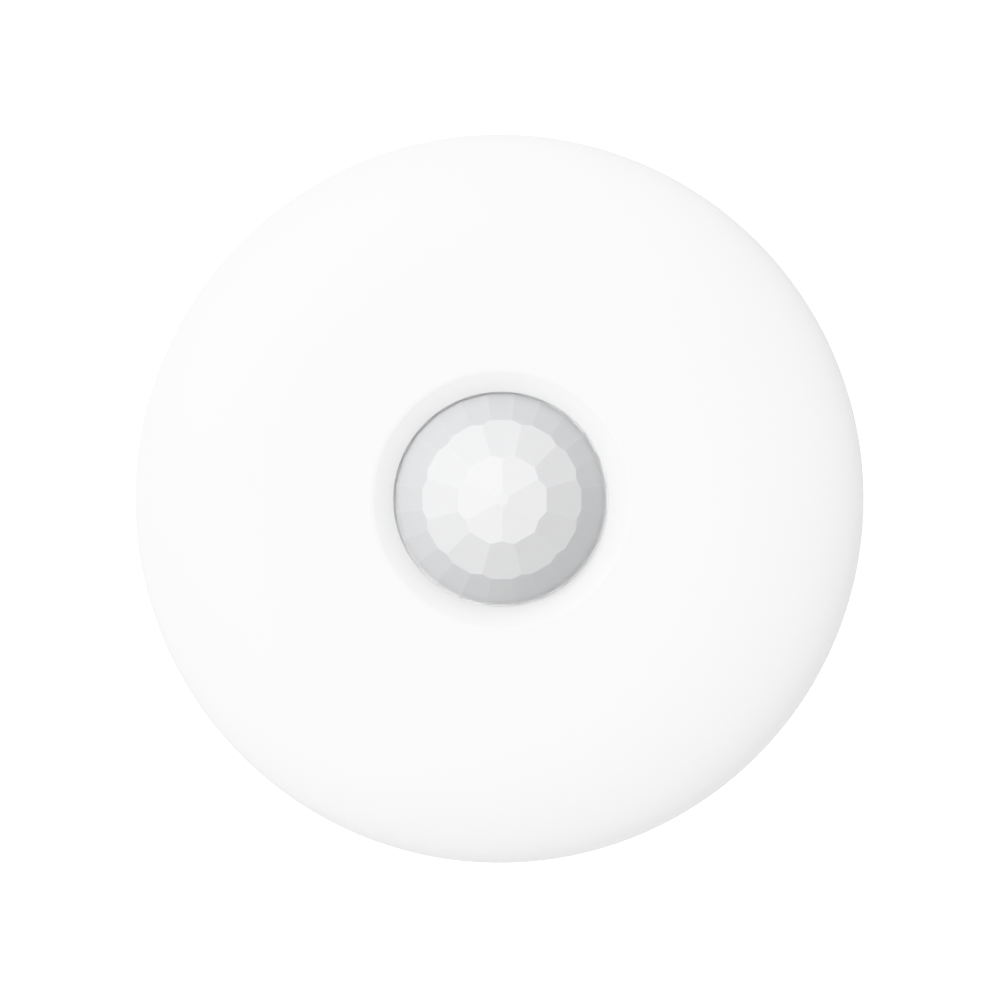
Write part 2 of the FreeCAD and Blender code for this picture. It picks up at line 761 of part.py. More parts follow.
def rear_additions():
    sunk = 0.5                              # how deep the pieces start inside the floor
    base_z = floor_top - sunk
    post_high = dim.pcb_z - floor_top + sunk - GAP
    bay_long = bay_room_long + 2 * dim.bay_wall
    bay_start = -(dim.bay_x1 + dim.bay_wall)
    solids = [
        box("bay_walls", bay_long, bay_half * 2, dim.bat_z - floor_top + sunk,
            bay_start + bay_long / 2, -dim.bat_y, base_z),
        cyl("bay_roof", bay_half, bay_long, bay_start, -dim.bat_y, dim.bat_z, ALONG_X),
    ]
    for k, (x, y) in enumerate(POST_SITES):
        solids.append(cyl("post_%d" % k, dim.post_rad, post_high, x, y, base_z))
        solids.append(cone("post_root_%d" % k, dim.post_rad + 0.9, dim.post_rad, 1.4,
                           x, y, floor_top - 0.2))
    # two plain support posts under the board's straight edge
    for k, x in enumerate((-25.0, 25.0)):
        solids.append(cyl("stub_%d" % k, 1.6, post_high, x, -19.0, base_z))
    # boss of the clamp screw, and guide collar of the plunger
    solids.append(cyl("clamp_boss", 2.4, 3.4, 0, -(dim.rear_in_rad + 1.7), dim.clamp_z, INWARD))
    solids.append(box("clamp_boss_web", 4.8, 3.0, 1.7,
                      0, -(dim.rear_in_rad + 0.2), dim.clamp_z))
    solids.append(cyl("tamper_collar", 2.3, 1.2, dim.tamper_x, dim.tamper_y, dim.floor_z - 1.2))
    return solids


def rear_holes():
    through = dim.floor_thick + 2           # passes the floor by 1 on each side
    below = dim.floor_z - 1
    holes = [
        box("bay_room", bay_room_long, dim.bay_rad * 2, dim.bat_z - dim.floor_z + 1.0,
            -dim.bay_x1 + bay_room_long / 2, -dim.bat_y, below),
        cyl("bay_vault", dim.bay_rad, bay_room_long, -dim.bay_x1, -dim.bat_y, dim.bat_z,
            ALONG_X),
        # slits for the contact tabs
        box("slit_plus", 0.9, 5.0, 2.6, dim.bay_x2 - 0.25, -23.5, 15.2),
        box("slit_minus", 0.9, 5.0, 2.6, -dim.bay_x1 + 0.25, -23.5, 15.2),
        # finger scoop over the battery
        cyl("finger_scoop", 7.5, 12.0, 2.0, -dim.bat_y - bay_half - 0.3, dim.bat_z + 12.4,
            INWARD),
    ]
    for k, (x, y) in enumerate(POST_SITES):
        holes.append(cyl("post_pilot_%d" % k, 1.03, 4.6, x, y, dim.pcb_z - 4.3))
    for k, (x, y) in enumerate(COVER_SCREW_SITES):
        holes.append(cyl("screw_hole_%d" % k, dim.screw_shank + 0.15, through, x, y, below))
    for k, angle in enumerate(HOOK_ANGLES):
        holes.append(sector("hook_window_%d" % k, dim.hook_in_rad - 0.3, dim.hook_out_rad + 0.3,
                            through, below, angle - 18.5, angle + 3.3))
    holes += [
        cyl("tamper_hole", 1.45, 6.0, dim.tamper_x, dim.tamper_y, dim.floor_z - 2),
        cyl("button_hole", 2.5, through, -dim.button_x, dim.button_y, below),
        box("switch_window", 8.0, 8.0, through, 0, dim.dip_y, below),
        cyl("clamp_bore", 1.28, 9.0, 0, -56.0, dim.clamp_z, INWARD),
        cyl("clamp_counterbore", 2.3, 6.0, 0, -(dim.clamp_seat_rad + 6.0), dim.clamp_z, INWARD),
    ]
    # air slots through the skirt, near the foot
    for k, angle in enumerate((0, 12, 168, 180)):
        holes.append(sector("air_slot_%d" % k, dim.rear_in_rad - 1.0, 60.0, 1.2, 2.6,
                            angle - 3, angle + 3))
    return holes


def rear_housing():
    whole = fuse("rear_solids", [rear_shell()] + rear_additions())
    finish(cut("rear_housing_solid", whole, rear_holes()), "rear_housing")


def rating_label():
    thick = 0.12
    plate = box("label_sheet", 34.0, 18.0, thick, 0, -8.5, dim.floor_z - 0.13)
    soft = rounded("label_rounded", plate, 2.0,
                   lambda e: abs(e.BoundBox.ZLength - thick) < 1e-6
                   and e.BoundBox.XLength < 1e-6)
    finish(soft, "rating_label")


# ------------------------------------------------------------------------------------------
# Mounting plate
# ------------------------------------------------------------------------------------------
def plate_disc():
    collar_in, collar_out = 12.0, 13.2
    collar_top = dim.plate_thick + 1.2
    body = turned("plate", [
        (0, 0), (dim.plate_rad - 0.4, 0), (dim.plate_rad, 0.4),
        (dim.plate_rad, dim.plate_thick - 0.3), (dim.plate_rad - 0.3, dim.plate_thick),
        (collar_out, dim.plate_thick), (collar_out, collar_top), (collar_in, collar_top),
        (collar_in, dim.plate_thick), (0, dim.plate_thick)])
    for side, word in ((-1, "left"), (1, "right")):
        profile = slot(body, "slot_outline_" + word, 0, side * (dim.slot_pitch / 2),
                       dim.slot_long / 2 - dim.slot_half, dim.slot_half)
        pocket(body, profile, "slot_" + word, dim.plate_thick)
    for side, word in ((-1, "low"), (1, "high")):
        profile = disc(body, "hole_outline_" + word, 0, dim.slot_half,
                       0, side * (dim.hole_pitch / 2))
        pocket(body, profile, "hole_" + word, dim.plate_thick)
    return body


def mounting_plate():
    base_z = dim.plate_thick - 0.3          # what stands on the plate starts inside it
    pad_high = dim.pad_top_z - dim.plate_thick + 0.3
    solids = [plate_disc()]
    for k, angle in enumerate(HOOK_ANGLES):
        solids.append(sector("hook_stem_%d" % k, dim.hook_in_rad, dim.hook_out_rad,
                             dim.hook_head_z - dim.plate_thick + 0.5, base_z,
                             angle - 3, angle + 3))
        solids.append(sector("hook_head_%d" % k, dim.hook_in_rad, dim.hook_out_rad,
                             dim.hook_head_thick, dim.hook_head_z, angle - 3, angle + 17.5))
    for k, angle in enumerate((30, 150)):
        solids.append(sector("pad_%d" % k, dim.hook_in_rad, dim.hook_out_rad,
                             pad_high, base_z, angle - 4, angle + 4))
    solids.append(sector("clamp_wall", dim.clamp_wall_rad - 1.5, dim.clamp_wall_rad,
                         pad_high, base_z, 250, 290))
    whole = fuse("plate_solids", solids)
    # openings under the hook heads, the centre hole and a V notch in the +Y edge
    holes = [sector("hook_core_%d" % k, dim.hook_in_rad - 0.4, dim.hook_out_rad + 0.4,
                    dim.plate_thick + 2, -1.0, angle + 3.6, angle + 18.4)
             for k, angle in enumerate(HOOK_ANGLES)]
    holes.append(cyl("centre_hole", 6.0, 6.0, 0, 0, -1.0))
    holes.append(corner_box("index_notch", 1.6, 1.6, 6.0,
                            Placement(Vector(0, dim.plate_rad.value - 1.2, -1.0),
                                      turn((0, 0, 1), 45))))
    finish(cut("mounting_plate_solid", whole, holes), "mounting_plate")


# ------------------------------------------------------------------------------------------
# Circuit board and what stands on it
# ------------------------------------------------------------------------------------------
def circuit_board():
    tool_z, tool_high = dim.pcb_z - 2, 6.0
    board = cyl("board_disc", dim.pcb_rad, dim.pcb_thick, 0, 0, dim.pcb_z)
    tools = [box("board_straight", 100.0, 40.0, tool_high, 0, -(dim.pcb_cut_y + 20.0), tool_z)]
    for k, (x, y) in enumerate(POST_SITES):
        tools.append(cyl("board_hole_%d" % k, 1.25, tool_high, x, y, tool_z))
    for k, (x, y) in enumerate(PIR_PINS):
        tools.append(cyl("pin_hole_%d" % k, 0.42, tool_high, x, y, tool_z))
    for k, side in enumerate((-1, 1)):
        tools.append(cyl("lead_hole_%d" % k, 0.62, tool_high, side * LEAD_X, LEAD_Y, tool_z))
        x, y = around(dim.pcb_rad, 20)
        tools.append(cyl("edge_notch_%d" % k, 1.6, tool_high, side * x, y, tool_z))
    finish(cut("circuit_board_solid", board, tools), "circuit_board")


def microcontroller():
    x, y = -25.0, 7.0
    slab = box("mcu_slab", 7.0, 7.0, 1.12, x, y, board_top + 0.08)
    body = rounded("mcu_body", slab, 0.12, lambda e: e.BoundBox.ZMin > board_top.value + 1.0)
    dot = cyl("mcu_mark", 0.45, 0.4, x - 2.5, y + 2.5, board_top + 1.12)
    finish(cut("mcu_solid", body, dot), "microcontroller")

    # the pins are square rings crossed with a comb of bars
    rings = []
    for name, outer, inner, height, z in (("pin_feet", 9.0, 7.7, 0.15, board_top),
                                          ("pin_risers", 8.0, 7.7, 0.75, board_top),
                                          ("pin_tops", 8.0, 7.02, 0.15, board_top + 0.6)):
        rings.append(cut(name, box(name + "_a", outer, outer, height, x, y, z),
                         box(name + "_b", inner, inner, height + 2, x, y, z - 1)))
    bars = []
    for k in range(8):
        step = -2.8 + 0.8 * k
        bars.append(box("pin_bar_x%d" % k, 0.34, 12.0, 3.0, x + step, y, board_top - 1))
        bars.append(box("pin_bar_y%d" % k, 12.0, 0.34, 3.0, x, y + step, board_top - 1))
    pins = common("mcu_pins_solid", fuse("mcu_pin_rings", rings), fuse("pin_bars", bars))
    finish(pins, "microcontroller_pins")


def radio():
    x, y = 23.5, 12.5
    length, width, thick = 12.0, 16.0, 0.8
    base = box("radio_base", length, width, thick, x, y, board_top)
    edge_holes = [cyl("castellation_%d_%d" % (k, side), 0.4, 3.0,
                      x + side * length / 2, y - 6.0 + 2.0 * k, board_top - 1)
                  for k in range(6) for side in (-1, 1)]
    finish(cut("radio_module_solid", base, edge_holes), "radio_module")
    shield_y = y - 1.2
    can = box("shield_block", 10.4, 12.0, 1.9, x, shield_y, board_top + thick)
    can = rounded("shield_rounded", can, 0.35,
                  lambda e: e.BoundBox.ZMin > board_top.value + 2.6
                  or e.BoundBox.ZLength > 1.8)
    dents = [cyl("shield_dent_%d" % k, 0.5, 0.5, x + dx, shield_y + dy, board_top + 2.4)
             for k, (dx, dy) in enumerate(((-3.6, -4.4), (3.6, -4.4), (-3.6, 4.4), (3.6, 4.4)))]
    finish(cut("radio_shield_solid", can, dents), "radio_shield")


def antenna():
    half_long, y, wire = 9.6, 34.0, 0.4
    winding = coil("antenna", radius=2.5, pitch=1.6, height=2 * half_long, wire=wire,
                   at=(-half_long, y, board_top + 3.5), rot=ALONG_X)
    legs = [cyl("antenna_leg_a", wire, 1.6, -half_long, y, board_top),
            cyl("antenna_leg_b", wire, 1.6, half_long, y, board_top)]
    finish(fuse("antenna_solid", [winding] + legs), "antenna")


def stadium(name, length, radius, height, x, y, z):
    """Upright block with half-round ends along X, length between the end centres."""
    return fuse(name, [box(name + "_mid", length, 2 * radius, height, x, y, z),
                       cyl(name + "_l", radius, height, x - length / 2, y, z),
                       cyl(name + "_r", radius, height, x + length / 2, y, z)])


def crystal():
    x, y, length = -24.5, 17.6, 6.6
    can = stadium("crystal_can", length, 1.75, 3.3, x, y, board_top + 0.35)
    can = rounded("crystal_soft", can, 0.4, lambda e: e.BoundBox.ZMin > board_top.value + 3.6)
    rim = stadium("crystal_rim", length, 2.25, 0.4, x, y, board_top + 0.02)
    finish(fuse("crystal_solid", [can, rim]), "crystal")


# Half section of the bulk capacitor: radius, height above the board's top
CAPACITOR_SECTION = [
    (0, 0), (3.6, 0), (3.95, 0.35), (3.95, 1.3), (3.62, 1.65), (3.95, 2.0), (3.95, 6.7),
    (3.5, 7.1), (3.1, 7.1), (3.1, 6.95), (0, 6.95),
]


def bulk_capacitor():
    can = turned("capacitor", [(radius, board_top + z) for radius, z in CAPACITOR_SECTION])
    arms = [box("vent_%d" % k, length, width, 0.4, 0, 0, board_top + 6.8)
            for k, (length, width) in enumerate(((4.4, 0.35), (0.35, 4.4)))]
    solid = cut("capacitor_solid", can, arms)
    solid.Placement = Placement(Vector(30.5, -8.0, 0), turn((0, 0, 1), 45))
    finish(solid, "bulk_capacitor")


# Chip places: x, y, angle of the chip's length from X in degrees (0 or 90)
CAPACITOR_SITES = [
    (-18.5, -6.0, 90), (-18.5, -9.5, 90), (-22.0, -6.0, 90), (-30.5, 12.5, 0),
    (-30.5, -6.5, 0), (-8.0, 19.5, 0), (8.0, 19.5, 0), (17.0, 24.0, 90),
    (32.0, 9.0, 0), (32.0, 16.0, 0), (14.5, -14.5, 0), (-14.5, -16.0, 0),
]
RESISTOR_SITES = [
    (-26.0, -6.0, 90), (-26.0, -9.5, 90), (-26.0, -13.0, 90), (-31.5, 2.5, 0),
    (-31.5, 4.7, 0), (-4.0, 17.4, 90), (4.0, 17.4, 90), (24.0, 24.5, 0), (27.5, 24.5, 0),
    (33.0, 4.0, 90), (22.5, -3.5, 0), (22.5, -5.7, 0), (3.0, -17.5, 0), (-3.0, -17.5, 0),
]


def chip_bodies(tag, sites, length, width, height, terminals):
    """Chip bodies at the sites; their end caps are added to terminals."""
    cap_long = 0.35
    bodies = []
    for k, (x, y, angle) in enumerate(sites):
        def oriented(along, across):
            return (along, across) if angle == 0 else (across, along)

        size_x, size_y = oriented(length - 2 * cap_long, width)
        bodies.append(box("%s_%d" % (tag, k), size_x, size_y, height, x, y, board_top + 0.02))
        size_x, size_y = oriented(cap_long, width + 0.04)
        for side in (-1, 1):
            dx, dy = oriented(side * (length - cap_long) / 2, 0)
            terminals.append(box("%s_end_%d_%d" % (tag, k, side), size_x, size_y,
                                 height + 0.06, x + dx, y + dy, board_top))
    return bodies


def chips():
    terminals = []
    capacitors = chip_bodies("cap", CAPACITOR_SITES, 2.0, 1.25, 0.95, terminals)
    resistors = chip_bodies("res", RESISTOR_SITES, 1.6, 0.85, 0.45, terminals)
    finish(group("chip_capacitor_set", capacitors), "chip_capacitors")
    finish(group("chip_resistor_set", resistors), "chip_resistors")
    finish(group("chip_terminal_set", terminals), "chip_terminals")


def pir_stand():
    stand = cyl("stand_disc", dim.can_flange_rad + 0.3, dim.can_foot_z - board_top,
                0, 0, board_top)
    holes = [cyl("stand_hole_%d" % k, 0.3, 4.0, x, y, board_top - 1)
             for k, (x, y) in enumerate(PIR_PINS)]
    finish(cut("pir_stand_solid", stand, holes), "pir_stand")


def pir_can():
    """Sensor can with its tab at 225 degrees, the window pane sunk in its top, and leads."""
    foot, top, flange_thick, bevel = dim.can_foot_z, dim.can_top_z, 0.4, 0.4
    can = turned("pir_can", [
        (0, foot), (dim.can_flange_rad, foot), (dim.can_flange_rad, foot + flange_thick),
        (dim.can_rad, foot + flange_thick), (dim.can_rad, top - bevel),
        (dim.can_rad - bevel, top), (0, top)])
    tab_rad, tab_angle = 4.2, 225
    tab_frame = Placement(Vector(tab_rad * math.cos(math.radians(tab_angle)),
                                 tab_rad * math.sin(math.radians(tab_angle)), foot.value),
                          turn((0, 0, 1), tab_angle))
    tab = corner_box("pir_tab", 1.0, 1.2, flange_thick, tab_frame * shift(0, -0.5, 0))
    seat = box("pir_window_seat", 5.24, 4.24, 0.6, 0, 0, top - 0.35)
    finish(cut("pir_can_solid", fuse("pir_can_tabbed", [can, tab]), seat), "pir_can")
    finish(box("pir_window_pane", 5.2, 4.2, 0.36, 0, 0, top - 0.34), "pir_window")
    leads = [cyl("pir_lead_%d" % k, 0.23, foot - dim.pcb_z + 1.4, x, y, dim.pcb_z - 1.4)
             for k, (x, y) in enumerate(PIR_PINS)]
    finish(group("pir_lead_set", leads), "pir_leads")


def status_led():
    """Status light beside the sensor."""
    x = 8.3
    led = fuse("led_parts", [box("led_base", 3.0, 2.0, 0.7, x, 0, board_top),
                             cyl("led_dome", 0.85, 0.75, x, 0, board_top + 0.5)])
    led = rounded("led_soft", led, 0.3, lambda e: e.BoundBox.ZMin > board_top.value + 1.2)
    finish(led, "status_led")


def insect_guard():
    ring = tube("foam_ring", 13.8, 11.4, 8.0, 0, 0, board_top + GAP)
    ring = rounded("foam_soft", ring, 0.5,
                   lambda e: e.BoundBox.ZLength < 1e-6
                   and e.BoundBox.ZMin > board_top.value + 7)
    finish(ring, "insect_guard")


# ------------------------------------------------------------------------------------------
# Battery and its contacts
# ------------------------------------------------------------------------------------------
# Half sections of the cell and its sleeve: radius, distance from the cell's -X end
CELL_SECTION = [
    (0, 0), (7.7, 0), (8.2, 0.5), (8.2, 33.3), (7.9, 33.7), (3.2, 33.7), (3.2, 34.2),
    (2.9, 34.5), (0, 34.5),
]
SLEEVE_SECTION = [
    (7.0, -0.15), (8.2, -0.15), (dim.bat_rad, 0.2), (dim.bat_rad, 33.6), (8.2, 33.9),
    (6.4, 33.9), (6.4, 33.72), (7.93, 33.72), (8.22, 33.34), (8.22, 0.47), (7.72, -0.02),
    (7.0, -0.02),
]
CELL_START_X = -15.8

# Contacts: name, x of its plate, then the x of the lead's second and third points
CONTACTS = [("plus", 18.97, 18.95, 18.4), ("minus", -19.35, -19.2, -18.4)]
# y and z of the five points of a lead, from the contact tab to below the board's top
LEAD_YZ = [(-20.44, 16.5), (-19.4, 16.4), (-17.7, 15.4), (LEAD_Y, 13.2), (LEAD_Y, 11.2)]


def battery():
    y, z = -dim.bat_y, dim.bat_z
    for name, section in (("cell", CELL_SECTION), ("sleeve", SLEEVE_SECTION)):
        body = turned(name, section)
        body.Placement = Placement(Vector(CELL_START_X, y.value, z.value), ALONG_X)
        finish(body, "battery_" + name)

    # strip over the cell's +Z half, its tail running down to -Z on the -Y side
    arc = cut("strip_ring", cyl("strip_o", 8.74, 8.0, 0, y, z, ALONG_X),
              cyl("strip_i", 8.6, 10.0, -1.0, y, z, ALONG_X))
    keep = box("strip_keep", 12.0, 20.0, 12.0, 4.0, y, z - 0.2)
    tail = box("strip_tail", 8.0, 0.14, 9.2, 4.0, y - 8.67, z - 9.3)
    strip = fuse("pull_strip_solid", [common("strip_arc", arc, keep), tail])
    finish(strip, "battery_pull_strip")


def battery_contacts():
    y, z = -dim.bat_y, dim.bat_z
    for name, x, second_x, third_x in CONTACTS:
        plate = box(name + "_plate", 0.4, 12.0, 12.0, x, y, z - 6.0)
        tab = box(name + "_tab", 0.4, 6.6, 1.9, x, y + 9.2, 15.55)
        finish(fuse(name + "_parts", [plate, tab]), "battery_contact_" + name)
        hole_x = math.copysign(LEAD_X, x)
        path = [(px, py, pz) for px, (py, pz)
                in zip((x, second_x, third_x, hole_x, hole_x), LEAD_YZ)]
        finish(strand("lead_" + name, path, 0.5), "battery_lead_" + name)
    spring = coil("battery_spring", radius=4.9, pitch=1.05, height=2.45, wire=0.36,
                  at=(-18.78, y, z), rot=ALONG_X, cone_angle=-20.0)
    finish(spring, "battery_spring")


# ------------------------------------------------------------------------------------------
# Tamper plunger, pairing button, DIP switch
# ------------------------------------------------------------------------------------------
def tamper():
    x, y = dim.tamper_x, dim.tamper_y
    plunger = fuse("plunger_solid", [
        cyl("plunger_rod", 1.4, 4.9, x, y, dim.plate_thick + 0.5),
        cone("plunger_nose", 1.0, 1.4, 0.44, x, y, dim.plate_thick + 0.06),
        cyl("plunger_flange", 2.8, 0.8, x, y, 7.3),
        cyl("plunger_stem", 1.0, 0.9, x, y, 8.0)])
    finish(plunger, "tamper_plunger")
    spring = coil("tamper_spring", radius=2.0, pitch=0.85, height=3.3, wire=0.2,
                  at=(x, y, 8.33), rot=UP)
    finish(spring, "tamper_spring")
    high = 2.0
    block = box("switch_block", 2.4, 2.4, high - GAP, x, y, dim.pcb_z - high)
    bore = cyl("switch_bore", 0.65, 1.5, x, y, dim.pcb_z - high - 0.1)
    finish(cut("tamper_switch_solid", block, bore), "tamper_switch")
    finish(cyl("actuator_pin", 0.6, 1.3, x, y, 9.0), "tamper_actuator")


def pairing_button():
    x, y = -dim.button_x, dim.button_y
    cap_z = dim.floor_z - 0.3
    cap = cyl("button_cap", 2.4, 2.3, x, y, cap_z)
    cap = rounded("button_cap_soft", cap, 0.4,
                  lambda e: e.BoundBox.ZMax < dim.floor_z.value - 0.2
                  and e.BoundBox.ZLength < 1e-6)
    # shallow dish in the pressed face
    dish = doc.addObject("Part::Sphere", "button_dish")
    dish.Radius = 6.0
    place(dish, x, y, cap_z - 5.75)
    flange = cyl("button_flange", 3.4, 0.6, x, y, floor_top + 0.1)
    stem = cyl("button_stem", 1.2, 0.8, x, y, floor_top + 0.55)
    button = cut("pairing_button_solid", fuse("button_parts", [cap, flange, stem]), dish)
    finish(button, "pairing_button")


def tact_switch():
    """The switch the pairing button presses, on the board's underside."""
    x, y = -dim.button_x, dim.button_y
    high = 3.0
    tool_z = dim.pcb_z - high - 0.1
    block = box("tact_block", 6.0, 6.0, high - GAP, x, y, dim.pcb_z - high)
    tools = [cyl("tact_bore", 1.8, 1.6, x, y, tool_z)]
    for k, (dx, dy) in enumerate(((-2.4, -2.4), (2.4, -2.4), (-2.4, 2.4), (2.4, 2.4))):
        tools.append(cyl("tact_rivet_%d" % k, 0.4, 0.3, x + dx, y + dy, tool_z))
    finish(cut("tact_switch_solid", block, tools), "tact_switch")
    finish(cyl("tact_pin", 1.7, 1.15, x, y, 8.4), "tact_stem")


def dip_switch():
    high, knob_long = 3.2, 1.1
    z = dim.pcb_z - high
    channel_half = (dim.slider_travel + 1.3) / 2
    slider_xs = (-1.27, 1.27)
    block = box("dip_block", 6.4, 6.2, high - GAP, 0, dim.dip_y, z)
    channels = [box("dip_channel_%d" % k, 1.1, channel_half * 2, 1.4, x, dim.dip_y, z - 0.2)
                for k, x in enumerate(slider_xs)]
    finish(cut("dip_switch_solid", block, channels), "dip_switch")
    # both sliders stand at the -Y end of their channels
    knob_y = dim.dip_y - channel_half + 0.1 + knob_long / 2
    for k, x in enumerate(slider_xs):
        knob = box("dip_knob_%d" % k, 0.94, knob_long, 1.7, x, knob_y, z - 0.6)
        finish(knob, "dip_slider_%d" % (k + 1))


def clamp_screw():
    """Radial screw on the -Y side, with its washer; it ends just short of the clamp wall."""
    ring = tube("clamp_ring", 2.1, 1.32, 0.4, 0, -(dim.clamp_seat_rad + 0.42), dim.clamp_z,
                INWARD)
    finish(ring, "clamp_washer")
    head_seat = dim.clamp_seat_rad + 0.44
    length = head_seat - dim.clamp_wall_rad - 0.05
    finish(screw("clamp_screw_part", 0, -head_seat, dim.clamp_z, INWARD,
                 shank_rad=1.25, shank_long=length.value, head_rad=2.0, head_high=1.5),
           "clamp_screw")


BUILDERS = [
    mounting_plate, rear_housing, rating_label, front_cover, lens, lens_retainer,
    retainer_screws, cover_screws, circuit_board, board_screws, microcontroller, radio,
    antenna, crystal, bulk_capacitor, chips, pir_stand, pir_can, status_led, insect_guard,
    battery, battery_contacts, tamper, pairing_button, tact_switch, dip_switch, clamp_screw,
]
for builder in BUILDERS:
    builder()
doc.recompute()

# ------------------------------------------------------------------------------------------
# State of every object, then the pieces
# ------------------------------------------------------------------------------------------
bad = [o.Name for o in doc.Objects if "Invalid" in o.State or "Error" in o.State]
if bad:
    raise RuntimeError("objects not computed: %s" % bad)
for label, piece in pieces.items():
    if piece.Shape.isNull() or not piece.Shape.isValid() or not piece.Shape.Solids:
        raise RuntimeError("%s has no valid solid" % label)
os.makedirs("parts", exist_ok=True)
for label, piece in pieces.items():
    piece.Shape.exportStep("parts/%s.step" % label)
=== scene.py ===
import json
import math

import bmesh
import bpy
from mathutils import Matrix, Vector


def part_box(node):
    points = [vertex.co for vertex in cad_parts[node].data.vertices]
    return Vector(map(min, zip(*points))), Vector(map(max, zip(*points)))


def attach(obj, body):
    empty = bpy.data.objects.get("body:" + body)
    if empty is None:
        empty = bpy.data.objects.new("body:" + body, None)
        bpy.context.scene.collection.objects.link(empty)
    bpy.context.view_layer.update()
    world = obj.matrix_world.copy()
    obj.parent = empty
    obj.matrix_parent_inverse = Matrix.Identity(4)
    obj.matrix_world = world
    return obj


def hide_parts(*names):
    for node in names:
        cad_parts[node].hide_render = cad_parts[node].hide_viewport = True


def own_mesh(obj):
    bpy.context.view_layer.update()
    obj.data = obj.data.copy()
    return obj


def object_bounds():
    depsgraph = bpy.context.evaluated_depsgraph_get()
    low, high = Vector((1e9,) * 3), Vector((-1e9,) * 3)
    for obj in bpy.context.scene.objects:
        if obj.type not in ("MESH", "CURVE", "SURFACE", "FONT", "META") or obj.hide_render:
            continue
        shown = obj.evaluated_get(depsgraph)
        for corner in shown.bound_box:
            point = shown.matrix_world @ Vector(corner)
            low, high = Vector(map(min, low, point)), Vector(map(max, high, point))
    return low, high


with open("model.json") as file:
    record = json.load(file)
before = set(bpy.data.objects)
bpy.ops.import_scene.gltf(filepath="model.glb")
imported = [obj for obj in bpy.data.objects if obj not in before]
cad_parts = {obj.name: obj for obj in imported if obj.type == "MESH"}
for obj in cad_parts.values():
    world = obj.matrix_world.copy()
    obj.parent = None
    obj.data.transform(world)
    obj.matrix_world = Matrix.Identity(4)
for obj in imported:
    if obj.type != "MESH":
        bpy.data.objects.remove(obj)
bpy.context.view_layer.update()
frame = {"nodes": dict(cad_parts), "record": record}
NODES = frame["nodes"]
MM = 0.001


def grey(value):
    return (value, value, value)


# Colours of the visible front (linear)
COVER_COLOUR = grey(0.797)
# painted light in the crater near the lens
CRATER_PAINTED_LIGHT_COLOUR = grey(0.865)
LENS_COLOUR = (0.676, 0.677, 0.683)
LENS_EDGE_COLOUR = (0.545, 0.549, 0.556)
# painted light on the lens's outermost rim
LENS_FOOT_PAINTED_LIGHT_COLOUR = grey(0.92)
BACKDROP_COLOUR = grey(0.60)


# ---------------------------------------------------------------------------------------------
# Procedural materials
# ---------------------------------------------------------------------------------------------
def tint(colour, factor):
    return tuple(max(0.0, min(1.0, v * factor)) for v in colour)


def rgba(colour):
    """A colour tuple with its alpha; a socket is passed through."""
    return (*colour, 1.0) if isinstance(colour, tuple) else colour


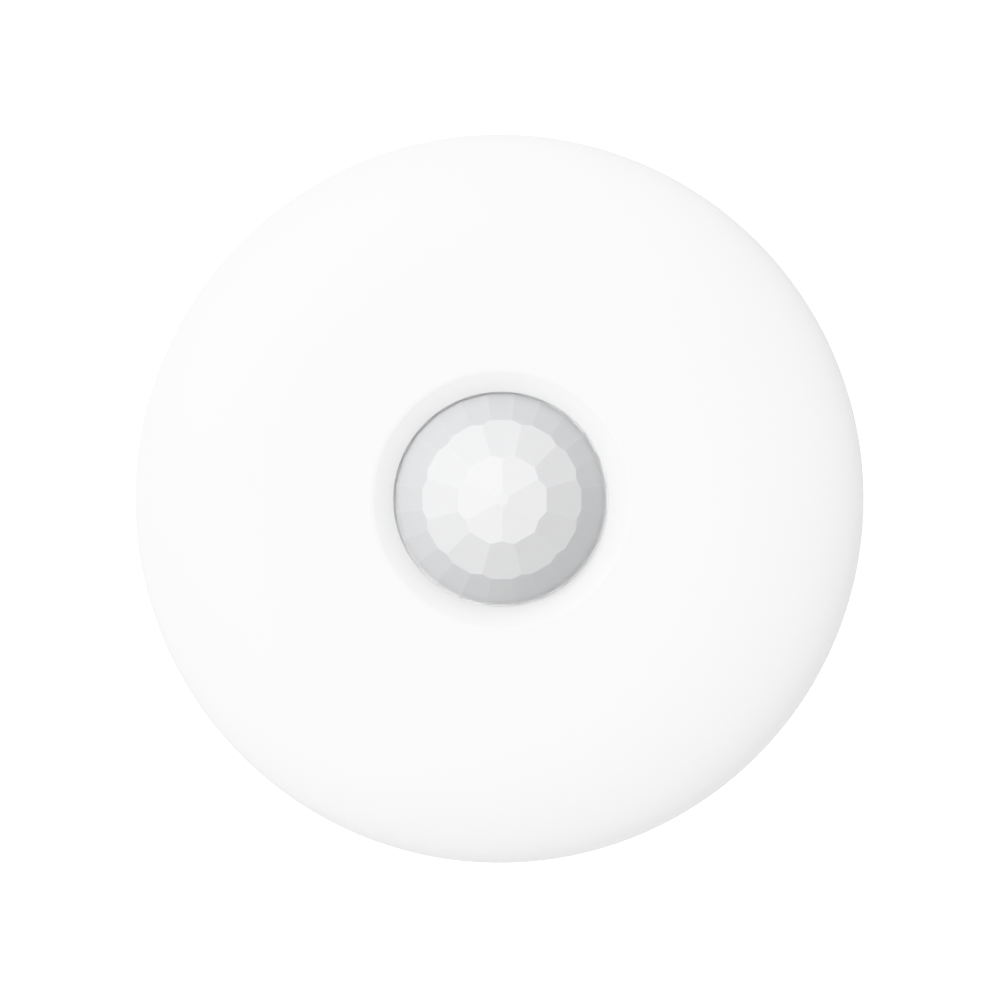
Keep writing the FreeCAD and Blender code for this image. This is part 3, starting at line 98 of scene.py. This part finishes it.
class Shader:
    """A node material on object-space textures. Sizes, radii and depths are in millimetres."""

    def __init__(self, name):
        self.material = bpy.data.materials.new(name)
        self.material.use_nodes = True
        self.tree = self.material.node_tree
        self.tree.nodes.clear()
        self.output = self.tree.nodes.new("ShaderNodeOutputMaterial")
        self.surface = self.tree.nodes.new("ShaderNodeBsdfPrincipled")
        self.feed(self.output.inputs[0], self.surface.outputs[0])
        self.position = self.add("ShaderNodeTexCoord", {}, "Object")
        self.normal = None

    def feed(self, socket, value):
        """Link a socket into an input, or set the input to a plain value."""
        if isinstance(value, bpy.types.NodeSocket):
            self.tree.links.new(value, socket)
        else:
            socket.default_value = value

    def add(self, kind, inputs, output=0, **settings):
        """Add a node, set it up and return one of its outputs."""
        node = self.tree.nodes.new(kind)
        for attribute, value in settings.items():
            setattr(node, attribute, value)
        for key, value in inputs.items():
            self.feed(node.inputs[key], value)
        return node.outputs[output]

    def set(self, **values):
        """Set or link inputs of the principled surface; underscores stand for spaces."""
        for key, value in values.items():
            self.feed(self.surface.inputs[key.replace("_", " ")], value)

    def noise(self, size, detail=3.0, roughness=0.55, coord=None):
        return self.add("ShaderNodeTexNoise", {
            "Scale": 1.0 / (size * MM), "Detail": detail, "Roughness": roughness,
            "Vector": coord or self.position}, "Fac")

    def cells(self, size, feature="F1", output="Distance"):
        return self.add("ShaderNodeTexVoronoi", {
            "Scale": 1.0 / (size * MM), "Vector": self.position}, output, feature=feature)

    def stretched(self, x, y, z):
        return self.add("ShaderNodeMapping", {"Scale": (x, y, z), "Vector": self.position})

    def spread(self, fac, low=0.0, high=1.0, start=0.3, end=0.7, interpolation="LINEAR"):
        """fac from start to end, spread over low to high."""
        return self.add("ShaderNodeMapRange", {
            "From Min": start, "From Max": end, "To Min": low, "To Max": high,
            "Value": fac}, "Result", interpolation_type=interpolation)

    def maths(self, operation, *values):
        return self.add("ShaderNodeMath", dict(enumerate(values)), operation=operation)

    def vector_maths(self, operation, *vectors, output="Vector"):
        return self.add("ShaderNodeVectorMath", dict(enumerate(vectors)), output,
                        operation=operation)

    def split(self, value, kind="ShaderNodeSeparateXYZ"):
        return self.add(kind, {0: value}).node.outputs

    def ring(self, zero_at, one_at):
        """0 at the first radius from the Z axis, 1 at the second."""
        axes = self.split(self.position)
        squares = [self.maths("MULTIPLY", axes[i], axes[i]) for i in (0, 1)]
        radius = self.maths("SQRT", self.maths("ADD", *squares))
        return self.spread(radius, start=zero_at * MM, end=one_at * MM)

    def side(self, azimuth, start, full):
        """1 on the side facing azimuth (degrees); start and full are cosines of the angle off it."""
        unit = self.vector_maths("NORMALIZE", self.stretched(1.0, 1.0, 0.0))
        angle = math.radians(azimuth)
        toward = (math.cos(angle), math.sin(angle), 0.0)
        along = self.vector_maths("DOT_PRODUCT", unit, toward, output="Value")
        return self.spread(along, start=start, end=full)

    def blend(self, fac, first, second):
        return self.add("ShaderNodeMix", {0: fac, 6: rgba(first), 7: rgba(second)}, 2,
                        data_type="RGBA")

    def bump(self, height, depth, strength=1.0):
        """Add a bump on top of those already there."""
        inputs = {"Distance": depth * MM, "Strength": strength, "Height": height}
        if self.normal is not None:
            inputs["Normal"] = self.normal
        self.normal = self.add("ShaderNodeBump", inputs, "Normal")
        self.set(Normal=self.normal)


def plastic(name, colour, rough=0.42, grain=0.22, depth=0.004, soft=0.0, spec=0.5, vary=0.02,
            coat=0.0):
    """Moulded plastic: spark-textured or polished, with faint flow shading and uneven gloss."""
    s = Shader(name)
    flow = s.noise(14.0, detail=2.0, roughness=0.5)
    fine = s.noise(1.3, roughness=0.6)
    shades = tint(colour, 1.0 - vary), tint(colour, 1.0 + vary * 0.5)
    s.set(Base_Color=s.blend(s.spread(flow), *shades),
          Roughness=s.spread(fine, low=rough - 0.04, high=rough + 0.05),
          Specular_IOR_Level=spec, Coat_Weight=coat, Coat_Roughness=0.12)
    if soft:
        s.set(Subsurface_Weight=soft, Subsurface_Radius=(1.0, 0.95, 0.9),
              Subsurface_Scale=0.0012)
    s.bump(s.noise(grain, detail=2.0, roughness=0.6), depth=depth)
    s.bump(s.noise(9.0, detail=1.0, roughness=0.5), depth=depth * 1.5, strength=0.5)
    return s.material


def metal(name, colour, rough=0.25, brush=None, grain=0.08, depth=0.002):
    """Metal with drawn or tumbled scratches, slightly uneven in tone and gloss."""
    vary = 0.06
    s = Shader(name)
    coord = s.stretched(*brush) if brush else None
    scratches = s.noise(grain, detail=4.0, roughness=0.7, coord=coord)
    shades = tint(colour, 1.0 - vary), tint(colour, 1.0 + vary * 0.4)
    s.set(Base_Color=s.blend(s.spread(s.noise(2.4)), *shades),
          Roughness=s.spread(scratches, low=rough - 0.07, high=rough + 0.09),
          Metallic=1.0)
    s.bump(scratches, depth=depth, strength=0.6)
    return s.material


def laminate(name, mask, copper, pitch=1.6):
    """Printed board: glossy solder mask over faintly raised tracks and weave."""
    s = Shader(name)
    axes = s.split(s.position)

    def lines(axis):
        """Stripes one pitch apart; 0.17 is their half width as a share of the pitch."""
        phase = s.maths("FRACT", s.maths("DIVIDE", axes[axis], pitch * MM))
        off_centre = s.maths("ABSOLUTE", s.maths("SUBTRACT", phase, 0.5))
        return s.maths("LESS_THAN", off_centre, 0.17)

    # each zone has tracks along X or Y, or none
    zone = s.split(s.cells(9.0, output="Color"), "ShaderNodeSeparateColor")
    turned = s.maths("GREATER_THAN", zone[0], 0.5)
    bare = s.maths("GREATER_THAN", zone[1], 0.62)
    stripes = s.add("ShaderNodeMix", {0: turned, 2: lines(0), 3: lines(1)})
    tracks = s.maths("MULTIPLY", stripes, s.maths("SUBTRACT", 1.0, bare))
    s.set(Base_Color=s.blend(tracks, mask, copper),
          Roughness=s.spread(s.noise(3.0, detail=2.0), low=0.2, high=0.32),
          Specular_IOR_Level=0.5, Coat_Weight=0.35, Coat_Roughness=0.1)
    s.bump(tracks, depth=0.03, strength=0.8)
    threads = [s.noise(0.5, detail=1.0, roughness=0.5, coord=s.stretched(*stretch))
               for stretch in ((1, 6, 1), (6, 1, 1))]
    s.bump(s.maths("ADD", *threads), depth=0.002, strength=0.6)
    return s.material


def foam(name, colour):
    """Open-cell foam: pale struts, with painted shade in the pores between them."""
    s = Shader(name)
    pores_and_painted_shade = s.spread(s.cells(0.55, feature="DISTANCE_TO_EDGE"), start=0.02, end=0.22)
    # the pores' dark colour is painted shade; the bump below gives them their depth
    s.set(Base_Color=s.blend(pores_and_painted_shade, tint(colour, 1.7), tint(colour, 0.35)),
          Roughness=0.95, Specular_IOR_Level=0.15, Sheen_Weight=0.25)
    s.bump(s.maths("SUBTRACT", 1.0, pores_and_painted_shade), depth=0.16)
    s.bump(s.noise(2.2), depth=0.1, strength=0.6)
    return s.material


def film(name, colour, rough, crease, coat):
    """Thin plastic film with soft wrinkles."""
    s = Shader(name)
    cloud = s.spread(s.noise(5.0, detail=2.0))
    s.set(Base_Color=s.blend(cloud, tint(colour, 0.94), tint(colour, 1.04)),
          Roughness=s.spread(s.noise(1.2), low=rough - 0.04, high=rough + 0.08),
          Coat_Weight=coat, Coat_Roughness=0.08)
    wrinkles = s.noise(3.4, detail=2.0, roughness=0.5, coord=s.stretched(0.25, 1, 1))
    s.bump(wrinkles, depth=crease, strength=0.7)
    s.bump(s.noise(0.35, detail=2.0), depth=0.0015, strength=0.5)
    return s.material


def ceramic(name, colour, rough=0.5):
    """Fine-grained fired ceramic."""
    s = Shader(name)
    grains = s.spread(s.cells(0.16), start=0.0, end=0.8)
    s.set(Base_Color=s.blend(grains, tint(colour, 0.88), tint(colour, 1.06)),
          Roughness=s.spread(s.noise(0.2), low=rough - 0.08, high=rough + 0.08))
    s.bump(s.noise(0.12), depth=0.003)
    return s.material


def cover_abs(name, colour, rough=0.46):
    """Satin white ABS with a very fine moulded texture; light goes a little way into it."""
    s = Shader(name)
    flow = s.spread(s.noise(26.0, detail=2.0, roughness=0.45))
    mottled = s.blend(flow, tint(colour, 0.995), tint(colour, 1.004))
    # painted light: the crater near the lens is lighter, mostly on its +Y side
    crater_painted_light = s.maths("MULTIPLY", s.ring(zero_at=19.4, one_at=16.3),
                     s.side(azimuth=90.0, start=-1.1, full=0.4))
    gloss = s.noise(1.6, roughness=0.6)
    s.set(Base_Color=s.blend(crater_painted_light, mottled, CRATER_PAINTED_LIGHT_COLOUR),
          Roughness=s.spread(gloss, low=rough - 0.03, high=rough + 0.04),
          Specular_IOR_Level=0.5, Subsurface_Weight=0.12,
          Subsurface_Radius=(1.0, 0.96, 0.92), Subsurface_Scale=0.0006)
    s.bump(s.noise(0.2, detail=2.0, roughness=0.6), depth=0.0022, strength=0.8)
    s.bump(s.noise(11.0, detail=1.0, roughness=0.4), depth=0.006, strength=0.35)
    return s.material


def milky_film(name, colour, edge):
    """Milky polyethylene: bright where it faces the viewer, greyer at a slant."""
    s = Shader(name)
    facing = s.add("ShaderNodeLayerWeight", {"Blend": 0.5}, "Facing")
    slant = s.spread(facing, start=0.0, end=0.6)
    mottling = s.spread(s.noise(4.5, roughness=0.5), low=-0.012, high=0.012)
    shade = s.maths("ADD", slant, mottling)
    # the outer facets turned away from the key light are darker
    lee = s.maths("MULTIPLY", s.ring(zero_at=11.9, one_at=12.3),
                  s.side(azimuth=322.0, start=0.6, full=1.0))
    shade = s.maths("ADD", shade, s.maths("MULTIPLY", lee, 0.32))
    # painted light: the outermost rim is lighter, mostly on its -Y side
    foot_painted_light = s.maths("MULTIPLY", s.ring(zero_at=15.5, one_at=16.0),
                   s.side(azimuth=-67.5, start=-0.8, full=0.4))
    s.set(Base_Color=s.blend(foot_painted_light, s.blend(shade, colour, edge), LENS_FOOT_PAINTED_LIGHT_COLOUR),
          Roughness=s.spread(s.noise(0.9, roughness=0.6), low=0.40, high=0.48),
          Specular_IOR_Level=0.22, Subsurface_Weight=0.25,
          Subsurface_Radius=(1.0, 1.0, 1.0), Subsurface_Scale=0.0005)
    s.bump(s.noise(0.3, detail=2.0, roughness=0.5), depth=0.0018, strength=0.7)
    return s.material


# Material slot: its material. Brush is the stretch of the scratches along X, Y and Z.
MATERIALS = {
    "cover_plastic": cover_abs("satin_white_abs", COVER_COLOUR),
    "housing_plastic": plastic("white_abs_housing", (0.785, 0.785, 0.782), rough=0.5,
                               grain=0.24, soft=0.08, spec=0.35, vary=0.008),
    "plate_plastic": plastic("white_abs_plate", (0.765, 0.765, 0.755), rough=0.54, grain=0.3,
                             depth=0.006, soft=0.06, spec=0.35, vary=0.012),
    "label_film": film("blank_silver_film", (0.62, 0.63, 0.64), rough=0.3, crease=0.004,
                       coat=0.15),
    "lens_film": milky_film("milky_lens", LENS_COLOUR, LENS_EDGE_COLOUR),
    "retainer_plastic": plastic("white_abs_retainer", (0.76, 0.76, 0.75), rough=0.45,
                                grain=0.25, vary=0.012),
    "screw_steel": metal("zinc_plated_steel", (0.66, 0.67, 0.69), rough=0.27, grain=0.12,
                         depth=0.003),
    "board_laminate": laminate("green_board", mask=(0.012, 0.095, 0.04),
                               copper=(0.03, 0.17, 0.06)),
    "chip_resin": plastic("black_epoxy", (0.018, 0.018, 0.02), rough=0.55, grain=0.09,
                          depth=0.006, vary=0.15),
    "tinned_metal": metal("tinned_copper", (0.78, 0.78, 0.77), rough=0.22, grain=0.1),
    "module_laminate": laminate("blue_board", mask=(0.01, 0.03, 0.12),
                                copper=(0.02, 0.06, 0.2), pitch=1.1),
    "shield_metal": metal("nickel_silver_sheet", (0.68, 0.69, 0.70), rough=0.26,
                          brush=(1, 9, 1), grain=0.2),
    "antenna_wire": metal("gold_flashed_wire", (0.88, 0.66, 0.28), rough=0.16, grain=0.2,
                          depth=0.001),
    "can_metal": metal("nickel_plated_can", (0.72, 0.71, 0.69), rough=0.15, brush=(1, 1, 8),
                       grain=0.25, depth=0.0012),
    "capacitor_can": metal("bare_aluminium", (0.77, 0.78, 0.79), rough=0.24, brush=(1, 1, 7),
                           grain=0.2),
    "capacitor_ceramic": ceramic("sintered_ceramic", (0.42, 0.30, 0.19)),
    "resistor_film": ceramic("glazed_resistor", (0.025, 0.025, 0.028), rough=0.25),
    "stand_plastic": plastic("natural_nylon", (0.74, 0.73, 0.68), rough=0.4, grain=0.3,
                             soft=0.2),
    "infrared_window": film("infrared_filter", (0.05, 0.045, 0.05), rough=0.12, crease=0.001,
                            coat=0.8),
    "led_resin": plastic("clear_led_resin", (0.80, 0.82, 0.78), rough=0.1, grain=0.6,
                         depth=0.001, soft=0.3, coat=0.6),
    "guard_foam": foam("dark_open_cell_foam", (0.06, 0.06, 0.066)),
    "cell_steel": metal("cell_can_steel", (0.72, 0.72, 0.73), rough=0.22, brush=(8, 1, 1),
                        grain=0.2),
    "sleeve_film": film("plain_blue_sleeve", (0.06, 0.12, 0.30), rough=0.2, crease=0.01,
                        coat=0.5),
    "strip_film": film("amber_pull_strip", (0.80, 0.62, 0.22), rough=0.2, crease=0.03,
                       coat=0.4),
    "contact_metal": metal("nickel_contact", (0.75, 0.73, 0.68), rough=0.2, brush=(1, 8, 1),
                           grain=0.2),
    "spring_steel": metal("spring_wire", (0.60, 0.60, 0.62), rough=0.2, grain=0.25,
                          depth=0.001),
    "lead_red": plastic("red_lead", (0.50, 0.02, 0.018), rough=0.3, grain=0.5, depth=0.003,
                        coat=0.2),
    "lead_black": plastic("black_lead", (0.015, 0.015, 0.016), rough=0.3, grain=0.5,
                          depth=0.003, coat=0.2),
    "plunger_plastic": plastic("natural_acetal", (0.78, 0.78, 0.74), rough=0.3, grain=0.4,
                               depth=0.002, soft=0.15),
    "switch_plastic": plastic("glass_filled_nylon", (0.022, 0.022, 0.024), rough=0.5,
                              grain=0.15, depth=0.008, vary=0.12),
    "actuator_plastic": plastic("dark_acetal", (0.05, 0.05, 0.055), rough=0.35, grain=0.4,
                                depth=0.002),
    "button_plastic": plastic("grey_abs_button", (0.33, 0.35, 0.37), grain=0.25),
    "dip_plastic": plastic("red_switch_body", (0.42, 0.02, 0.02), rough=0.35, grain=0.3,
                           depth=0.003),
    "slider_plastic": plastic("white_acetal", (0.80, 0.80, 0.77), rough=0.3, grain=0.4,
                              depth=0.002, soft=0.15),
    "washer_steel": metal("washer_zinc", (0.66, 0.67, 0.68), rough=0.3, grain=0.15,
                          depth=0.003),
}
for row in frame["record"]["subparts"]:
    data = NODES[row["node"]].data
    data.materials.clear()
    data.materials.append(MATERIALS[row["material_slot"]])


# ---------------------------------------------------------------------------------------------
# Object helpers
# ---------------------------------------------------------------------------------------------
def link_object(name, data):
    o = bpy.data.objects.new(name, data)
    bpy.context.scene.collection.objects.link(o)
    return o


def mesh_object(name, bm, material):
    mesh = bpy.data.meshes.new(name)
    bm.to_mesh(mesh)
    bm.free()
    mesh.materials.append(material)
    return link_object(name, mesh)


def add_piece(name, bm, slot, node, smooth):
    """A mesh that rides on the head in place of a CAD node."""
    o = mesh_object(name, bm, MATERIALS[slot])
    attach(o, "head")
    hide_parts(node)
    for polygon in o.data.polygons:
        polygon.use_smooth = smooth
    return o


def welded(node):
    """The node's mesh with its split vertices joined."""
    bm = bmesh.new()
    bm.from_mesh(NODES[node].data)
    bmesh.ops.remove_doubles(bm, verts=bm.verts, dist=2e-6)
    return bm


# ---------------------------------------------------------------------------------------------
# Lens: the facets with softly broken edges
# ---------------------------------------------------------------------------------------------
LENS_SEAT = 1.12 * MM  # above the lens's lowest point
SEAT_MARGIN = 0.5 * MM  # edges closer than this to the seat stay sharp
FACET_BEVEL = 0.07 * MM
FLAT_ANGLE = math.radians(0.4)  # faces this close to coplanar are merged
FACET_ANGLE = math.radians(2.0)  # least fold of an edge that is bevelled
LEAST_UP = 0.02  # least normal z of a face that counts as facing +Z


def make_lens():
    bm = welded("lens")
    bmesh.ops.dissolve_limit(bm, angle_limit=FLAT_ANGLE, verts=bm.verts, edges=bm.edges,
                             delimit={"NORMAL"})
    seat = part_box("lens")[0].z + LENS_SEAT
    edges = []
    for edge in bm.edges:
        if len(edge.link_faces) == 2 and edge.calc_face_angle(0.0) > FACET_ANGLE:
            middle = (edge.verts[0].co + edge.verts[1].co) / 2
            faces_up = all(face.normal.z > LEAST_UP for face in edge.link_faces)
            if middle.z > seat + SEAT_MARGIN and faces_up:
                edges.append(edge)
    bmesh.ops.bevel(bm, geom=edges, offset=FACET_BEVEL, segments=2, profile=0.5,
                    affect="EDGES", clamp_overlap=True)
    return add_piece("lens_facets", bm, "lens_film", "lens", smooth=False)


# ---------------------------------------------------------------------------------------------
# Insect guard: a foam ring with an uneven, porous skin
# ---------------------------------------------------------------------------------------------
GUARD_INNER_RADIUS = 11.4 * MM
GUARD_CHAMFER = 0.6 * MM
GUARD_SEGMENTS = 200
PIT_DEPTH = 0.12 * MM
UPPER_PIT, LOWER_PIT = 0.7, 0.05  # share of the pit depth taken in Z, above and below mid height


def pit_depth(k, j):
    """Uneven inset at segment k and profile point j, from two crossing waves."""
    waves = math.sin(k * 1.93 + j * 2.71) * math.sin(k * 0.77 - j * 1.31)
    return PIT_DEPTH * (0.5 + 0.5 * waves)


def make_guard():
    low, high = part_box("insect_guard")
    outer, inner = high.x, GUARD_INNER_RADIUS
    bottom, top = low.z, high.z
    chamfer = GUARD_CHAMFER
    # section corners: radius, z, steps to the next corner
    corners = [
        (inner, bottom, 6),
        (outer, bottom, 18),
        (outer, top - chamfer, 3),
        (outer - chamfer, top, 4),
        (inner + chamfer, top, 3),
        (inner, top - chamfer, 18),
    ]
    profile = []
    for (r, z, steps), (next_r, next_z, _) in zip(corners, corners[1:] + corners[:1]):
        for i in range(steps):
            profile.append((r + (next_r - r) * i / steps, z + (next_z - z) * i / steps))
    bm = bmesh.new()
    rings = []
    for k in range(GUARD_SEGMENTS):
        angle = 2 * math.pi * k / GUARD_SEGMENTS
        ring = []
        for j, (r, z) in enumerate(profile):
            inset = pit_depth(k, j)
            radius = r - inset if r > (outer + inner) / 2 else r + inset
            upper = z > (bottom + top) / 2
            height = z - inset * UPPER_PIT if upper else z + inset * LOWER_PIT
            ring.append(bm.verts.new((radius * math.cos(angle), radius * math.sin(angle), height)))
        rings.append(ring)
    for k, ring in enumerate(rings):
        following = rings[(k + 1) % GUARD_SEGMENTS]
        for j in range(len(profile)):
            after = (j + 1) % len(profile)
            bm.faces.new((ring[j], following[j], following[after], ring[after]))
    bmesh.ops.recalc_face_normals(bm, faces=bm.faces)
    add_piece("insect_guard_foam", bm, "guard_foam", "insect_guard", smooth=True)


def make_spring():
    o = add_piece("tamper_spring_coil", welded("tamper_spring"), "spring_steel",
                  "tamper_spring", smooth=True)
    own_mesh(o)


# ---------------------------------------------------------------------------------------------
# Floor
# ---------------------------------------------------------------------------------------------
FLOOR_RADII = [0.05, 0.1, 0.2, 0.4, 0.8, 1.6, 3.2, 6.4, 12.0, 24.0]
FLOOR_SEGMENTS = 96
FLOOR_GAP = 0.00005  # below the lowest point of the object
FLOOR_COLOUR = grey(0.5)
NEAR_BOUNCE, FAR_BOUNCE = grey(1.12), grey(0.8)  # light the floor gives back to the object


def floor_material():
    """White seen straight down; at a slant, a pale grey that meets the backdrop far out."""
    s = Shader("pale_floor")
    s.tree.nodes.remove(s.surface)  # the floor is mixed from plain shaders instead

    def emission(colour, strength=1.0):
        return s.add("ShaderNodeEmission", {"Color": rgba(colour), "Strength": strength})

    def mixed(fac, first, second):
        return s.add("ShaderNodeMixShader", {0: fac, 1: first, 2: second})

    distance = s.vector_maths("LENGTH", s.position, output="Value")
    far = s.spread(distance, start=0.12, end=0.9, interpolation="SMOOTHSTEP")
    geometry = s.add("ShaderNodeNewGeometry", {}).node.outputs
    steepness = s.maths("ABSOLUTE", s.split(geometry["Incoming"])[2])
    down = s.spread(steepness, start=0.93, end=0.985, interpolation="SMOOTHSTEP")
    diffuse = s.add("ShaderNodeBsdfDiffuse", {"Color": rgba(FLOOR_COLOUR)})
    slanted = mixed(far, diffuse, emission(BACKDROP_COLOUR))
    seen = mixed(down, slanted, emission(grey(1.0), strength=1.7))
    bounce = emission(s.blend(far, NEAR_BOUNCE, FAR_BOUNCE))
    camera_ray = s.add("ShaderNodeLightPath", {}, "Is Camera Ray")
    lit = mixed(camera_ray, bounce, seen)
    # from underneath the floor is clear, so the object's back can be looked at
    under = s.maths("MULTIPLY", geometry["Backfacing"], camera_ray)
    clear = s.add("ShaderNodeBsdfTransparent", {})
    s.feed(s.output.inputs[0], mixed(under, lit, clear))
    return s.material


def make_floor():
    bm = bmesh.new()
    centre = bm.verts.new((0, 0, 0))
    angles = [2 * math.pi * k / FLOOR_SEGMENTS for k in range(FLOOR_SEGMENTS)]
    inner = None
    for radius in FLOOR_RADII:
        ring = [bm.verts.new((radius * math.cos(a), radius * math.sin(a), 0)) for a in angles]
        for k in range(FLOOR_SEGMENTS):
            after = (k + 1) % FLOOR_SEGMENTS
            if inner is None:
                bm.faces.new((centre, ring[k], ring[after]))
            else:
                bm.faces.new((inner[k], ring[k], ring[after], inner[after]))
        inner = ring
    o = mesh_object("studio_floor", bm, floor_material())
    o.location.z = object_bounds()[0][2] - FLOOR_GAP


# ---------------------------------------------------------------------------------------------
# Light
# ---------------------------------------------------------------------------------------------
WORLD_STRENGTH = 0.85
LIGHT_DISTANCE = 1.3


def make_world():
    """White light all round; the camera sees the grey backdrop instead."""
    world = bpy.data.worlds.new("studio")
    bpy.context.scene.world = world
    world.use_nodes = True
    tree = world.node_tree
    light = tree.nodes["Background"]
    light.inputs[0].default_value = rgba(grey(1.0))
    light.inputs[1].default_value = WORLD_STRENGTH
    backdrop = tree.nodes.new("ShaderNodeBackground")
    backdrop.inputs[0].default_value = rgba(BACKDROP_COLOUR)
    path = tree.nodes.new("ShaderNodeLightPath")
    mix = tree.nodes.new("ShaderNodeMixShader")
    tree.links.new(path.outputs["Is Camera Ray"], mix.inputs[0])
    tree.links.new(light.outputs[0], mix.inputs[1])
    tree.links.new(backdrop.outputs[0], mix.inputs[2])
    tree.links.new(mix.outputs[0], tree.nodes["World Output"].inputs[0])


def softbox(name, azimuth, zenith, power, size=0.5):
    """A disk light aimed at the origin; azimuth is from +X and zenith from +Z, in degrees."""
    data = bpy.data.lights.new(name, "AREA")
    data.shape = "DISK"
    data.size = size
    data.energy = power
    o = link_object(name, data)
    az, ze = math.radians(azimuth), math.radians(zenith)
    toward = Vector((math.sin(ze) * math.cos(az), math.sin(ze) * math.sin(az), math.cos(ze)))
    o.location = toward * LIGHT_DISTANCE
    o.rotation_euler = (-o.location).to_track_quat("-Z", "Y").to_euler()
    return o


def make_lights(lens):
    softbox("softbox", azimuth=134.0, zenith=36.0, power=5.6)
    softbox("side_fill", azimuth=225.0, zenith=20.0, power=2.2, size=0.3)
    # these two light the milky lens only
    accent = softbox("lens_accent", azimuth=154.0, zenith=52.0, power=2.2)
    low = softbox("lens_low", azimuth=55.0, zenith=76.0, power=0.7)
    receivers = bpy.data.collections.new("accent_receivers")
    receivers.objects.link(lens)
    for light in (low, accent):
        light.light_linking.receiver_collection = receivers


# ---------------------------------------------------------------------------------------------
# Camera and tone curve
# ---------------------------------------------------------------------------------------------
VIEW_TARGET = Vector((0.0, -0.16 * MM, 20.0 * MM))  # at the cover's widest level
VIEW_DISTANCE = 1.25
VIEW_WIDTH = 150.93 * MM  # width of the view at the target
LEAN_X, LEAN_Y = math.radians(1.33), math.radians(0.50)  # camera off the axis, to -X and to +Y
SENSOR_WIDTH = 36.0
SHOULDER, CURVE_END = 0.90, 1.8  # where the highlights start to roll off, and full white


def make_camera():
    back = Vector((-math.tan(LEAN_X), math.tan(LEAN_Y), 1.0)).normalized()
    data = bpy.data.cameras.new("camera")
    data.sensor_width = SENSOR_WIDTH
    data.lens = SENSOR_WIDTH * VIEW_DISTANCE / VIEW_WIDTH
    data.clip_start, data.clip_end = 0.01, 100.0
    o = link_object("camera", data)
    right = Vector((0, 1, 0)).cross(back).normalized()
    up = back.cross(right)
    placement = Matrix((right, up, back)).transposed().to_4x4()
    placement.translation = VIEW_TARGET + back * VIEW_DISTANCE
    o.matrix_world = placement
    bpy.context.scene.camera = o


def set_tone_curve():
    """A straight curve with a highlight shoulder: whites roll off softly."""
    view = bpy.context.scene.view_settings
    view.view_transform = "Standard"
    view.look = "None"
    view.exposure = 0.0
    view.gamma = 1.0
    view.use_curve_mapping = True
    curves = view.curve_mapping
    curves.use_clip = False
    curves.clip_max_x = CURVE_END
    curves.clip_max_y = CURVE_END
    curves.extend = "EXTRAPOLATED"
    points = [(v, v) for v in (0.0, SHOULDER * 0.5, SHOULDER)]
    headroom = 1.0 - SHOULDER
    for k in range(1, 12):
        x = SHOULDER + (CURVE_END - SHOULDER) * (k / 12.0) ** 2
        points.append((x, 1.0 - headroom * math.exp(-(x - SHOULDER) / headroom)))
    points.append((CURVE_END, 1.0))
    combined = curves.curves[3]
    while len(combined.points) < len(points):
        combined.points.new(0.5, 0.5)
    for point, location in zip(combined.points, points):
        point.location = location
        point.handle_type = "AUTO_CLAMPED"
    curves.update()


lens_object = make_lens()
make_guard()
make_spring()
make_floor()
make_world()
make_lights(lens_object)
make_camera()
set_tone_curve()
